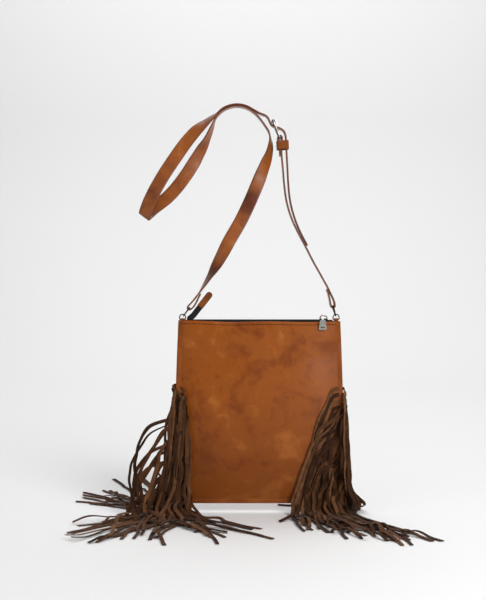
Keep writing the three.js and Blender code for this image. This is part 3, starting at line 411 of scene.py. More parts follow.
def strap_edge_paint_and_shade(tree, _cloud):
    """Edge paint and painted shade: the larger of a fade to both edges, by the uv across, and noise
    bands of painted shade, by the uv along.
    """
    uv = add(tree, "ShaderNodeUVMap", uv_map=STRIP_UV)
    split = tree.nodes.new("ShaderNodeSeparateXYZ")
    tree.links.new(uv.outputs[0], split.inputs[0])
    across = math_node(tree, "MODULO", split.outputs[1], 1.0)
    from_middle = math_node(tree, "ABSOLUTE", math_node(tree, "SUBTRACT", across, 0.5))
    edge = fade_in(tree, from_middle, EDGE_FROM, EDGE_STEEP)
    # Noise bands along the strap darken it as painted shade.
    shade_bands = add(tree, "ShaderNodeTexNoise", noise_dimensions="1D", Scale=SHADE_BANDS_PER_METRE, Detail=2.0)
    tree.links.new(split.outputs[0], shade_bands.inputs["W"])
    shade_along = fade_in(tree, shade_bands.outputs["Fac"], SHADE_BANDS_FROM, SHADE_BANDS_STEEP)
    return math_node(tree, "MAXIMUM", edge, shade_along)


print("the panel is", round(2 * HALF_X / MM), "mm wide and", round((TOP_Z - FOOT_Z) / MM), "mm high")

# %% [markdown]
# Each material is one Principled surface. Leather takes its colour from the clouds, which also make
# its wax more or less matt.

# %% Leather
CLOUD_STOPS = (0.40, 0.49, 0.54, 0.63)
CLOUD_GLOSS = 0.3


def new_material(name):
    """A material with nodes, its node tree and its Principled surface."""
    material = bpy.data.materials.new(name)
    material.use_nodes = True
    return material, material.node_tree, material.node_tree.nodes["Principled BSDF"]


def set_sockets(surface, values):
    """Constants written on the named sockets of a surface."""
    for label, value in values.items():
        surface.inputs[label].default_value = value


def leather(name, shades, roughness, shine, darkening=None, tint=None):
    """Waxed leather: the clouds pick a tone, the darkening mask (painted shade, and a strap's painted
    edges) multiplies it by the tint, grain gives relief.
    """
    material, tree, surface = new_material(name)
    cloud = add(tree, "ShaderNodeGroup", node_tree=clouds)
    dark, mid, light = shades
    colour = ramp(tree, list(zip(CLOUD_STOPS, (dark, mid, mid, light))))
    tree.links.new(cloud.outputs["Cloud"], colour.inputs[0])
    result = colour.outputs[0]
    if darkening is not None:
        darken = add(tree, "ShaderNodeMix", data_type="RGBA", blend_type="MULTIPLY")
        darken.inputs[MIX_COLOURS[1]].default_value = (*tint, 1)
        tree.links.new(result, darken.inputs[MIX_COLOURS[0]])
        tree.links.new(darkening(tree, cloud), darken.inputs[MIX_SHARE])
        result = darken.outputs[MIXED_COLOUR]
    tree.links.new(result, surface.inputs["Base Color"])
    uneven = math_node(tree, "MULTIPLY", cloud.outputs["Rough"], CLOUD_GLOSS)
    rough = math_node(tree, "ADD", uneven, roughness - CLOUD_GLOSS / 2)
    tree.links.new(rough, surface.inputs["Roughness"])
    relief = add(tree, "ShaderNodeGroup", node_tree=grain)
    tree.links.new(relief.outputs["Normal"], surface.inputs["Normal"])
    set_sockets(surface, {"Specular IOR Level": shine, "Coat Weight": 0.08, "Coat Roughness": 0.3})
    return material


print("leather picks its shade at", CLOUD_STOPS, "of its clouds")

# %% [markdown]
# Suede is dark where its nap is brushed one way and pale the other. Cloth has two crossing sets of
# ribs, and metal has faint marks of handling in its polish.

# %% Suede, cloth, metal and plain
METAL_MARKS = 0.16


def suede_material(name, dark, light):
    """Suede: the nap's shade goes from dark to light, its fibres give relief and a soft rim."""
    material, tree, surface = new_material(name)
    fluff = add(tree, "ShaderNodeGroup", node_tree=nap)
    colour = ramp(tree, [(0.30, dark), (0.72, light)])
    tree.links.new(fluff.outputs["Shade"], colour.inputs[0])
    tree.links.new(colour.outputs[0], surface.inputs["Base Color"])
    tree.links.new(fluff.outputs["Normal"], surface.inputs["Normal"])
    set_sockets(surface, {"Roughness": 0.92, "Specular IOR Level": 0.1})
    set_sockets(surface, {"Sheen Weight": 0.08, "Sheen Roughness": 0.45})
    return material


def cloth_material(name, colour, pitch):
    """Woven cloth: two crossing sets of ribs, one rib for every pitch."""
    material, tree, surface = new_material(name)
    where = object_place(tree)
    ribs = []
    for direction in ("X", "Z"):
        wave = add(tree, "ShaderNodeTexWave", bands_direction=direction, Scale=1 / pitch, Distortion=0.5)
        tree.links.new(where, wave.inputs["Vector"])
        ribs.append(wave.outputs["Fac"])
    bump = add(tree, "ShaderNodeBump", Distance=0.2 * MM, Strength=0.6)
    tree.links.new(math_node(tree, "MAXIMUM", *ribs), bump.inputs["Height"])
    tree.links.new(bump.outputs[0], surface.inputs["Normal"])
    set_sockets(surface, {"Base Color": (*colour, 1), "Roughness": 0.85, "Specular IOR Level": 0.25})
    return material


def metal(name, colour, roughness):
    """Plated metal: the roughness varies with noise by 0.16 about its mean."""
    material, tree, surface = new_material(name)
    marks = noise(tree, object_place(tree), scale=420.0, detail=4.0, rough=0.6, twist=0.2)
    uneven = math_node(tree, "MULTIPLY", marks, METAL_MARKS)
    rough = math_node(tree, "ADD", uneven, roughness - METAL_MARKS / 2)
    tree.links.new(rough, surface.inputs["Roughness"])
    set_sockets(surface, {"Base Color": (*colour, 1), "Metallic": 1.0})
    return material


def plain(name, colour, roughness):
    """One colour all over, with hardly any shine."""
    material, _, surface = new_material(name)
    set_sockets(surface, {"Base Color": (*colour, 1), "Roughness": roughness, "Specular IOR Level": 0.1})
    return material


print("metal varies by", METAL_MARKS, "in roughness")

# %% [markdown]
# The colours were matched to the photo. Leather has a dark, a middle and a light shade, and suede a
# dark and a light one. The laces are cut from three suedes.

# %% Materials of the bag
BODY_TANS = ((0.170, 0.034, 0.001), (0.250, 0.060, 0.003), (0.37, 0.108, 0.014))
# The body's shade tint darkens the panel where its painted shade falls.
BODY_SHADE_TINT = (0.24, 0.18, 0.13)
STRAP_TANS = ((0.15, 0.034, 0.002), (0.25, 0.062, 0.004), (0.36, 0.11, 0.018))
# The strap's tint darkens its painted edges and its painted shade.
STRAP_EDGE_AND_SHADE_TINT = (0.42, 0.30, 0.25)
TRIM_TANS = ((0.10, 0.024, 0.003), (0.18, 0.046, 0.006), (0.27, 0.085, 0.016))
WEAVE = 6 * MM

# The panel's darkening is painted shade; the strap's is its painted edges and painted shade along it.
body_leather = leather("waxed_tan", BODY_TANS, 0.40, 0.16, panel_painted_shade, BODY_SHADE_TINT)
strap_leather = leather("strap_tan", STRAP_TANS, 0.36, 0.42, strap_edge_paint_and_shade, STRAP_EDGE_AND_SHADE_TINT)
small_leather = leather("trim_tan", TRIM_TANS, 0.5, 0.16)
suede_dark = suede_material("suede_dark", (0.010, 0.0035, 0.001), (0.065, 0.025, 0.010))
suede_mid = suede_material("suede_mid", (0.022, 0.0075, 0.0025), (0.125, 0.050, 0.020))
suede_warm = suede_material("suede_warm", (0.042, 0.016, 0.006), (0.20, 0.088, 0.037))
tape_cloth = cloth_material("zip_tape_weave", (0.008, 0.008, 0.008), WEAVE)
lining_cloth = cloth_material("lining_weave", (0.05, 0.04, 0.03), WEAVE)
dark_metal = metal("dark_plating", (0.040, 0.029, 0.023), 0.34)
bright_metal = metal("nickel_plating", (0.40, 0.39, 0.37), 0.24)
thread = plain("waxed_thread", (0.030, 0.006, 0.002), 0.6)
# Painted shade: the near-black colour of the plugs in the tongue's holes.
cut_leather = plain("cut_leather", (0.020, 0.007, 0.003), 0.9)
print(len(bpy.data.node_groups), "node groups,", len(bpy.data.materials), "materials")

# %% [markdown]
# ## Small fittings
#
# The rings, links, buckle, zip and ring tabs are true CAD pieces. They keep their place and take
# their finish here. Cast metal and cut leather have no sharp edges, so these pieces get a small
# bevel, and bent wire is made round by subdivision.

# %% Finishes of the CAD fittings
FITTINGS = {
    dark_metal: ["d_ring_left", "d_ring_right", "link_left", "link_right", "zip_teeth_back",
                 "zip_teeth_front", "zip_slider"],
    bright_metal: ["zip_pull", "buckle_frame", "buckle_roller", "buckle_prong"],
    small_leather: ["ring_tab_left", "ring_tab_right", "zip_end_tab", "strap_keeper"],
    tape_cloth: ["zip_tape_back", "zip_tape_front"],
    lining_cloth: ["lining"],
}
BEVELS = {"zip_slider": 0.35, "zip_pull": 0.3, "zip_end_tab": 0.9, "strap_keeper": 0.45,
          "ring_tab_left": 0.3, "ring_tab_right": 0.3}
WIRES = ["d_ring_left", "d_ring_right", "link_left", "link_right", "buckle_frame"]
WELD_REACH = 1e-5
BEVEL_STEPS = 3
BEVEL_ANGLE = math.radians(35)
WIRE_LEVELS = 2


def soften(piece, name):
    """Corners that share a place are joined, then the edges are bevelled or the wire made round."""
    if name in BEVELS or name in WIRES:
        weld = piece.modifiers.new("weld", "WELD")
        weld.merge_threshold = WELD_REACH
    if name in BEVELS:
        bevel = piece.modifiers.new("soft_edges", "BEVEL")
        bevel.width = BEVELS[name] * MM
        bevel.segments = BEVEL_STEPS
        bevel.limit_method = "ANGLE"
        bevel.angle_limit = BEVEL_ANGLE
    if name in WIRES:
        round_wire = piece.modifiers.new("round_wire", "SUBSURF")
        round_wire.levels = WIRE_LEVELS
        round_wire.render_levels = WIRE_LEVELS


for finish, names in FITTINGS.items():
    for name in names:
        nodes[name].data.materials.clear()
        nodes[name].data.materials.append(finish)
        soften(nodes[name], name)
print("fittings finished:", sum(len(names) for names in FITTINGS.values()))

# %% [markdown]
# ## The two panels
#
# A panel is a sheet of leather 1.6 mm thick. Seen from the side the pouch is a slim lens: its faces
# touch at the seams, part at the zipped mouth and belly out in the middle. These formulas give the
# panel's outline and half the room between the two, and the slow dents of leather in use.

# %% Outline, belly and dents
TOP_WIDTH = 248 * MM
BOTTOM_WIDTH = 262 * MM
HEIGHT = 281 * MM
CORNER = 16 * MM
SEAM_GAP = 0.15 * MM
SEAM_WIDTH = 9 * MM
MOUTH_GAP = 5.4 * MM
MOUTH_SIDE = 9.8 * MM
MOUTH_DEEP = (6 * MM, 60 * MM)
BELLY = 10 * MM
BELLY_POWER = 0.8
LEFT_RISE = 1.5 * MM
LEFT_RISE_TO = (-110 * MM, -35 * MM)
SLOW_RISE = 0.5 * MM
SLOW_LENGTH = 19 * MM
DENT_WAVES = 7
DENT_LENGTHS = (45, 130)
FULL_TURN = 6.28


def half_width(depth):
    """Half the width: it grows as 1 - (1 - t)^2 down the bag, less a quarter circle at the corner."""
    t = depth / HEIGHT
    straight = (TOP_WIDTH + (BOTTOM_WIDTH - TOP_WIDTH) * (1 - (1 - t) ** 2)) / 2
    inside = np.clip(depth - (HEIGHT - CORNER), 0, CORNER)
    return straight - CORNER + np.sqrt(np.maximum(CORNER**2 - inside**2, 0))


def half_gap(x, depth):
    """Seam + mouth + belly.

    The mouth steps smoothly in from the side, and away down the bag. The belly is 1 - |x|^3 across,
    times the 0.8th power of a half sine down the bag.
    """
    edge = half_width(np.minimum(depth, HEIGHT - CORNER)) - np.abs(x)
    mouth = MOUTH_GAP * rise(edge, 0, MOUTH_SIDE) * (1 - rise(depth, *MOUTH_DEEP))
    wide = np.clip(1 - np.abs(x / (half_width(depth) - SEAM_WIDTH)) ** 3, 0, 1)
    down = np.clip(depth / (HEIGHT - SEAM_WIDTH), 0, 1)
    full = np.maximum(np.sin(np.pi * down**BELLY_POWER), 0) ** BELLY_POWER
    return SEAM_GAP + mouth + BELLY * wide * full


def dents(x, z, seed):
    """The mean of seven sines of the place, each with its own direction, length and shift."""
    draw = np.random.default_rng(seed)
    total = 0
    for _ in range(DENT_WAVES):
        turn = draw.uniform(0, np.pi)
        length = draw.uniform(*DENT_LENGTHS) * MM
        shift = draw.uniform(0, FULL_TURN)
        total = total + np.sin((x * np.cos(turn) + z * np.sin(turn)) * FULL_TURN / length + shift)
    return total / DENT_WAVES


def mouth_wave(x):
    """How far the top edge rises: a smooth step up to the left end, and a slow sine."""
    return LEFT_RISE * (1 - rise(x, *LEFT_RISE_TO)) + SLOW_RISE * np.sin(x / SLOW_LENGTH + 1)


print("the panels stand", round(2 * half_gap(0, HEIGHT / 2) / MM, 1), "mm apart in the middle")

# %% [markdown]
# The real surface sinks along the stitched line under the mouth and along the seams, and rolls over
# at its edges. Rows and columns lie closest there, because the shape changes most.

# %% Panel pieces
LEATHER = 1.6 * MM
PANEL_COLUMNS = 120
PANEL_ROWS = 130
SHORT_OF_FOOT = 0.9999
STITCH_DOWN = 4.6 * MM
SEAM_IN = 7 * MM
ROLL = 0.7 * MM
ROLL_WIDTH = 1.1 * MM
INNER_ROLL = 0.3
GROOVE = 0.45 * MM
STITCH_GROOVE = 0.9 * MM
SEAM_GROOVE = 1.4 * MM
SEAM_GROOVE_FROM = (10 * MM, 16 * MM)
DENT = 0.8 * MM
DENT_FROM = (4 * MM, 40 * MM)
WAVE_FADE = 30 * MM


def panel_points(side, seed):
    """The outer and the inner sheet of one panel, as rows that run once round it.

    Outer y is side (gap + thickness - roll - groove + dents). Inner y is side (gap + a share of the
    roll + the dents where they go in). At the top z follows the mouth's wave, which fades below.
    """
    across = np.sin(np.linspace(-np.pi / 2, np.pi / 2, PANEL_COLUMNS))
    down = (1 - np.cos(np.linspace(0, np.pi, PANEL_ROWS))) / 2
    depth = np.repeat((down * HEIGHT * SHORT_OF_FOOT)[:, None], PANEL_COLUMNS, 1)
    half = half_width(depth)
    x = across[None, :] * half
    z = TOP_Z - depth
    gap = half_gap(x, depth)
    from_side = half - np.abs(x)
    from_edge = np.minimum(from_side, np.minimum(depth, HEIGHT - depth))
    roll = ROLL * (1 - np.clip(from_edge / ROLL_WIDTH, 0, 1)) ** 2
    groove = GROOVE * np.exp(-(((depth - STITCH_DOWN) / STITCH_GROOVE) ** 2))
    from_seam = np.minimum(from_side, HEIGHT - depth) - SEAM_IN
    groove = groove + GROOVE * np.exp(-((from_seam / SEAM_GROOVE) ** 2)) * rise(depth, *SEAM_GROOVE_FROM)
    wave = DENT * dents(x, z, seed) * rise(from_edge, *DENT_FROM)
    z = z + mouth_wave(x) * np.exp(-depth / WAVE_FADE)
    outer = np.stack([x + MIDDLE_X, side * (gap + LEATHER - roll - groove + wave), z], -1)
    inner = np.stack([x + MIDDLE_X, side * (gap + INNER_ROLL * roll + np.minimum(wave, 0)), z], -1)
    return np.concatenate([outer, inner[:, ::-1]], axis=1)


def panel_faces(side):
    """Quads all round each row, and one more row of them over the top and over the foot."""
    around = 2 * PANEL_COLUMNS
    faces = tube_faces(PANEL_ROWS, around)[: (PANEL_ROWS - 1) * around]
    for base, flip in ((0, True), ((PANEL_ROWS - 1) * around, False)):
        for i in range(PANEL_COLUMNS - 1):
            face = [base + i, base + i + 1, base + around - 2 - i, base + around - 1 - i]
            faces.append(face[::-1] if flip else face)
    return [face[::-1] for face in faces] if side < 0 else faces


def panel_piece(name, side, seed):
    """One panel, which takes the place of the CAD one."""
    points = panel_points(side, seed).reshape(-1, 3)
    piece = add_piece(name, points, panel_faces(side), body_leather, "pouch")
    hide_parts(name.replace("skin_", ""))


print("a panel has", 2 * PANEL_COLUMNS * PANEL_ROWS, "points")

# %% [markdown]
# The stitches under the mouth are dark waxed thread. Each is a small spindle, half sunk in the
# groove, and they lie 4.6 mm apart as in the photo.

# %% Panels and their stitches
BEAD_ROWS = 5
BEAD_SIDES = 6
BEAD_END = 0.06
STITCH_LENGTH = 3.1 * MM
STITCH_WIDTH = 1.3 * MM
STITCH_PITCH = 4.6 * MM
STITCH_FROM_END = 5 * MM
STITCH_SUNK = 0.22 * MM
STITCH_LEAN = 0.10
WAVE_AT_STITCHES = 0.86
BACK_SEED = 4
FRONT_SEED = 9


def bead_row(name, centres, along, up, length, width, body):
    """Sewn stitches: one small spindle at each centre.

    At t from -1 to 1 along its length a spindle's radius is half its width times the root of
    1 - t^2.
    """
    t = np.linspace(-1, 1, BEAD_ROWS)
    swell = np.sqrt(np.maximum(1 - t**2, BEAD_END))
    angle = np.arange(BEAD_SIDES) * 2 * np.pi / BEAD_SIDES
    side = np.cross(along, up)
    ring = np.cos(angle)[:, None, None] * side[None] + np.sin(angle)[:, None, None] * up[None]
    lengthwise = 0.5 * length * t[:, None, None, None] * along[None, None]
    outwards = 0.5 * width * swell[:, None, None, None] * ring[None]
    points = (centres[None, None] + lengthwise + outwards).transpose(2, 0, 1, 3)
    one_bead = tube_faces(BEAD_ROWS, BEAD_SIDES)
    faces = []
    for i in range(len(centres)):
        faces += [[i * BEAD_ROWS * BEAD_SIDES + v for v in face] for face in one_bead]
    add_piece(name, points.reshape(-1, 3), faces, thread, body)


for side, name, seed in ((-1, "back_panel", BACK_SEED), (1, "front_panel", FRONT_SEED)):
    panel_piece("skin_" + name, side, seed)
    x = np.arange(-TOP_WIDTH / 2 + STITCH_FROM_END, TOP_WIDTH / 2 - STITCH_FROM_END, STITCH_PITCH)
    depth = np.full_like(x, STITCH_DOWN)
    y = side * (half_gap(x, depth) + LEATHER - STITCH_SUNK)
    centres = np.stack([x + MIDDLE_X, y, TOP_Z - depth + WAVE_AT_STITCHES * mouth_wave(x)], -1)
    along = np.tile([1.0, 0, STITCH_LEAN], (len(x), 1))
    up = np.tile([0, float(side), 0], (len(x), 1))
    bead_row("stitches_" + name, centres, along, up, STITCH_LENGTH, STITCH_WIDTH, "pouch")
print("panels and", 2 * len(x), "stitches")

# %% [markdown]
# ## The straps
#
# A strap is cut from thick leather, its edges are rounded and painted dark, and its flat side has a
# slight crown. The profile is carried along the centre line measured from the CAD strap, so it goes
# round the link bars, over the rest twice and through the buckle where the real one does.

# %% A profile carried along a line
STRAP_WIDTH = 20 * MM
STRAP_THICK = 2.4 * MM
STRAP_CROWN = 0.15 * MM
STRAP_POINTS = 13
EDGE_ROUND = 1.1
EDGE_THINNEST = 0.04


def rounded_profile(width, thickness):
    """Places a from edge to edge and half heights b, which fall off as a quarter circle at each."""
    a = np.sin(np.linspace(-np.pi / 2, np.pi / 2, STRAP_POINTS))
    edge = np.clip((1 - np.abs(a)) * (width / thickness) * EDGE_ROUND, 0, 1)
    return a, 0.5 * np.sqrt(np.clip(1 - (1 - edge) ** 2, EDGE_THINNEST, 1))


def band(strip, count, width, thickness, profile, crown, taper=None):
    """Profile swept along a strip: p = c + a w / 2 n1 + (b thickness + crown (1 - a^2)) n2.

    c is the centre line, n1 runs across, n2 is square to both, and w is the width times the taper.
    It gives the points in rows, their uv, the distance of each row and n2.
    """
    line, s = smooth_line(np.concatenate(strip, axis=1), count)
    middle, wide = line[:, :3], line[:, 3:]
    ahead = unit(np.gradient(middle, axis=0))
    wide = unit(wide - np.sum(wide * ahead, axis=1, keepdims=True) * ahead)
    up = np.cross(wide, ahead)
    a, b = profile
    a_round = np.concatenate([a, a[::-1]])
    b_round = np.concatenate([b, -b])
    width_here = np.full(count, width) if taper is None else width * taper(s / s[-1])
    sideways = 0.5 * width_here[:, None, None] * a_round[None, :, None] * wide[:, None]
    upwards = (thickness * b_round + crown * (1 - a_round**2))[None, :, None] * up[:, None]
    across = np.concatenate([(a + 1) / 2, 2 - (a[::-1] + 1) / 2])
    uv = np.stack(np.broadcast_arrays(s[:, None], across[None]), -1)
    return middle[:, None] + sideways + upwards, uv.reshape(-1, 2), s, up


STRAP_PROFILE = rounded_profile(STRAP_WIDTH, STRAP_THICK)
print("a strap's profile has", 2 * STRAP_POINTS, "points")

# %% [markdown]
# The long strap runs from its tongue in the buckle over the rest, round its slack loop and down to
# the left link. The short strap holds the buckle and goes down to the right link.

# %% Both straps
LONG_ROWS = 560
SHORT_ROWS = 200
TIP_WIDTH = 0.45
TIP_SHARE = 0.012


def rounded_tip(t):
    """The width at share t of the length: it grows as a root over the tongue's last few mm."""
    return TIP_WIDTH + (1 - TIP_WIDTH) * np.sqrt(np.clip(t / TIP_SHARE, 0, 1))


def strap_band(strip, count, taper=None):
    """The band of a strap, with the straps' own profile and crown."""
    return band(strip, count, STRAP_WIDTH, STRAP_THICK, STRAP_PROFILE, STRAP_CROWN, taper)


def strap_piece(name, strip, count, taper=None):
    """A strap's band as a piece, and its length."""
    places, uv, s, _ = strap_band(strip, count, taper)
    faces = tube_faces(*places.shape[:2])
    piece = add_piece(name, places.reshape(-1, 3), faces, strap_leather, "strap", uv)
    return piece, s[-1]


long_strap, length = strap_piece("strap_long", long_sections, LONG_ROWS, rounded_tip)
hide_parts("long_strap")
print("long strap", round(length, 3), "m")
short_strap, length = strap_piece("strap_short", short_sections, SHORT_ROWS)
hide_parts("buckle_strap")
print("short strap", round(length, 3), "m")

# %% [markdown]
# Each fold round a link or round the buckle is closed by five stitches across the strap, seen on
# both faces.

# %% Stitches of the folds
FOLD_ROWS = 200
FOLD_STITCHES = 5
FOLD_STITCH_LENGTH = 2.2 * MM
FOLD_STITCH_WIDTH = 0.8 * MM
STITCHES_IN = 2
LINK_FOLD_ROW = 197
BUCKLE_FOLD_ROW = 3
FOLDS = [
    ("left", long_sections, LINK_FOLD_ROW),
    ("right", short_sections, LINK_FOLD_ROW),
    ("heel", short_sections, BUCKLE_FOLD_ROW),
]


def fold_stitches(name, strip, row, face):
    """Stitches across a strap, evenly over its profile, on its upper (1) or lower (-1) face."""
    places, _, _, up = strap_band(strip, FOLD_ROWS)
    points = places[row, :STRAP_POINTS] if face > 0 else places[row, STRAP_POINTS:][::-1]
    wanted = np.linspace(STITCHES_IN, STRAP_POINTS - 1 - STITCHES_IN, FOLD_STITCHES)
    columns = [np.interp(wanted, np.arange(STRAP_POINTS), points[:, i]) for i in range(3)]
    along = np.tile(unit(points[-1:] - points[:1]), (FOLD_STITCHES, 1))
    out = np.tile(face * up[row : row + 1], (FOLD_STITCHES, 1))
    bead_row(name, np.stack(columns, -1), along, out, FOLD_STITCH_LENGTH, FOLD_STITCH_WIDTH, "strap")


for name, strip, row in FOLDS:
    fold_stitches(f"fold_stitches_{name}_upper", strip, row, 1)
    fold_stitches(f"fold_stitches_{name}_lower", strip, row, -1)
print("fold stitches:", 2 * len(FOLDS) * FOLD_STITCHES)

# %% [markdown]
# The tongue has punched holes 24 mm apart. The new strap has no openings, so each hole is a plug through
# it, flush with both faces, coloured nearly black as painted shade inside a small hole.

# %% Punched holes
HOLE_SIDES = 12
HOLE_RADIUS = 2.1 * MM
HOLE_PROUD = 0.06 * MM
HOLES_AT = 16 * MM + np.arange(4) * 24 * MM


def punched_holes(strip, from_tip, radius):
    """One short cylinder of the given radius through the strap at each distance from its tip."""
    places, _, s, up = strap_band(strip, LONG_ROWS)
    angle = np.linspace(0, 2 * np.pi, HOLE_SIDES, endpoint=False)[:, None]
    crest = STRAP_POINTS // 2
    one_hole = tube_faces(2, HOLE_SIDES)
    points, faces = [], []
    for i, distance in enumerate(from_tip):
        row = int(np.argmin(np.abs(s - distance)))
        wide = unit(places[row, STRAP_POINTS - 1] - places[row, 0])
        ring = radius * (np.cos(angle) * wide + np.sin(angle) * np.cross(up[row], wide))
        points.append(places[row, STRAP_POINTS + crest] - HOLE_PROUD * up[row] + ring)
        points.append(places[row, crest] + HOLE_PROUD * up[row] + ring)
        faces += [[i * 2 * HOLE_SIDES + v for v in face] for face in one_hole]
    # The plugs carry the holes' painted shade.
    add_piece("punched_holes", np.concatenate(points), faces, cut_leather, "strap")


punched_holes(long_sections, HOLES_AT, HOLE_RADIUS)
print("holes in the tongue:", len(HOLES_AT))

# %% [markdown]
# ## The fringe
#
# Each lace is a strip cut from suede with a knife, so it is a few millimetres wide, never quite the
# same width, slightly cupped, and cut off at a slant. It goes through a slit in the panels' edge and
# both its tails hang down and spread over the ground. All random draws come from one generator, in
# one order, so the fringe is the same each time.

# %% One lace
FLOOR_Z = -620.3 * MM
ABOVE_FLOOR = 0.3 * MM
LACE_THICK = 1.0 * MM
LACE_STEP = 3.0 * MM
LACE_PROFILE = (np.array([-1, -0.93, -0.35, 0.35, 0.93, 1]), np.array([0.3, 0.5, 0.5, 0.5, 0.5, 0.3]))
UNEVEN_PLACES = 9
UNEVEN = (0.80, 1.12)
SLANT = 2.2
CUP = 0.5
TWIST = 0.55
TWIST_LENGTH = 0.16
SWAY = 0.9 * MM
SWAY_LENGTH = 0.07
HANG_FROM = (12 * MM, 60 * MM)
FRINGE_SEED = 12
spread = np.random.default_rng(FRINGE_SEED)


def wobble(s, size, length):
    """Three sines of the distance, 1, 1.7 and 2.9 times in each length, the faster the smaller."""
    total = 0
    for times in (1.0, 1.7, 2.9):
        total = total + np.sin(s * FULL_TURN * times / length + spread.uniform(0, FULL_TURN)) / times
    return size * total / 1.8


def lace_piece(name, centres, across, width, material, loose=0.0):
    """One lace: a band of uneven width along the line, twisted, swayed and cut off at a slant.

    The twist turns each section about the line and fades near the ground. The sway moves it to the
    side by a wobble. The slant moves an end's points ahead by their place across.
    """
    length = np.linalg.norm(np.diff(centres, axis=0), axis=1).sum()
    uneven = spread.uniform(*UNEVEN, UNEVEN_PLACES)
    slant = spread.uniform(-SLANT, SLANT, 2) * MM
    cup = spread.uniform(-CUP, CUP) * MM
    steps = np.linspace(0, 1, UNEVEN_PLACES)
    places, uv, s, _ = band((centres, across), int(length / LACE_STEP), width, LACE_THICK, LACE_PROFILE,
                            cup, lambda t: np.interp(t, steps, uneven))
    middle = places.mean(axis=1)
    ahead = unit(np.gradient(middle, axis=0))
    aside = np.cross(ahead, [0, 0, 1.0])
    aside = aside + (1 - np.linalg.norm(aside, axis=1, keepdims=True)) * np.array([1.0, 0, 0])
    hang = rise(middle[:, 2], FLOOR_Z + HANG_FROM[0], FLOOR_Z + HANG_FROM[1])
    turn = (wobble(s, TWIST, TWIST_LENGTH) * hang)[:, None, None]
    section = places - middle[:, None]
    section = section * np.cos(turn) + np.cross(ahead[:, None], section) * np.sin(turn)
    sway = wobble(s, SWAY + loose, SWAY_LENGTH)[:, None] * unit(aside)
    places = middle[:, None] + section + sway[:, None, :]
    columns = len(LACE_PROFILE[0])
    cut = np.concatenate([np.linspace(-1, 1, columns), np.linspace(1, -1, columns)])[:, None]
    for end in (0, -1):
        places[end] += slant[end] * cut * ahead[end]
    places[..., 2] = np.maximum(places[..., 2], FLOOR_Z + ABOVE_FLOOR)
    faces = tube_faces(*places.shape[:2])
    return add_piece(name, places.reshape(-1, 3), faces, material, "pouch", uv)


print("a lace's profile has", 2 * len(LACE_PROFILE[0]), "points")

# %% [markdown]
# The CAD laces give where the fringe runs. On the left the tails are cut off where the photo's end.
# Where they hang, all tails are drawn closer to the panel's edge than the CAD ones, most of all on
# the right.

# %% The line of a CAD lace
REACH_X = -262 * MM
DRAW_IN_LEFT = 0.2
DRAW_IN_RIGHT = 0.75
HUNG_FROM = (6 * MM, 36 * MM)
EDGE_ROOM = 2 * MM


def own_line(centres, across, side):
    """A lace's line, with a share of what lies outside the panel's edge taken away where it hangs."""
    whole = len(centres) - int(np.argmax(centres[::-1, 0] > REACH_X))
    own = centres[:whole].copy()
    hung = rise(own[:, 2], FLOOR_Z + HUNG_FROM[0], FLOOR_Z + HUNG_FROM[1])
    edge = half_width(np.minimum(TOP_Z - own[:, 2], HEIGHT - CORNER)) + EDGE_ROOM
    outside = np.maximum(side * (own[:, 0] - MIDDLE_X) - edge, 0)
    own[:, 0] -= side * (DRAW_IN_RIGHT if side > 0 else DRAW_IN_LEFT) * outside * hung
    return own, across[:whole]


print("the left tails end at", round(REACH_X / MM), "mm")

# %% [markdown]
# More laces share the slits, as dense as in the real fringe. Each comes from behind over the panel's
# edge and slants down in front, then follows the front tail of the CAD lace, leaning and arching its
# own way. The two uppermost laces on the right hang alone.

# %% The line of one more lace
LONE_LACES = ("lace_right_01", "lace_right_02")
WRAP_OUT = 2.4 * MM
WRAP = np.array([[-9, 3.4, 3], [-3.5, 3.8, 2], [0.3, 2.2, 1], [1.2, 0, 0], [0.2, -2.8, -2],
                 [-4, -4.6, -7], [-4, -6.4, -7], [-4, -7.8, -7]])
WRAP_RUN = np.array([[0, 0, 0]] * 6 + [[-0.45, 0, -0.7], [-0.8, 0, -1.5]])
RUN = (9, 20)
SLIT_JITTER = (-2, 3)
BELOW_EACH = 3.4
LEAN_LEFT = (-80, 10)
LEAN_RIGHT = (-34, 6)
LEAN_BACK = (-6, 14)
LEAN_FROM = 0.3
BOW_LEFT = (2, 24)
BOW_RIGHT = (0, 14)
FAR_SHARE = 0.3
FAR_BOW = 34
ARCH_FROM = 0.05
ARCH_SHARE = 0.9
IN_FRONT = 2.5 * MM
IN_FRONT_EACH = 2 * MM
ABOVE_EACH = 1.4 * MM
LOW_FROM = 0.75
JOIN_BELOW = 14 * MM
LEAST_TAIL = 6
UPWARDS = np.array([0.0, 0.0, 1.0])


def wrap_start(slit_z, side, run):
    """Places from behind, round the panel's edge and down in front, the last ones spread by run."""
    edge = half_width(TOP_Z - slit_z) + WRAP_OUT
    outwards, forwards, upwards = ((WRAP + run * WRAP_RUN) * MM).T
    return np.stack([MIDDLE_X + side * (edge + outwards), forwards, slit_z + upwards], -1)


def bow_of(side):
    """How far a tail arches to the left, in mm: on the left some arch much further than others."""
    if side > 0:
        return spread.uniform(*BOW_RIGHT)
    return spread.uniform(*BOW_LEFT) + FAR_BOW * (spread.random() < FAR_SHARE)


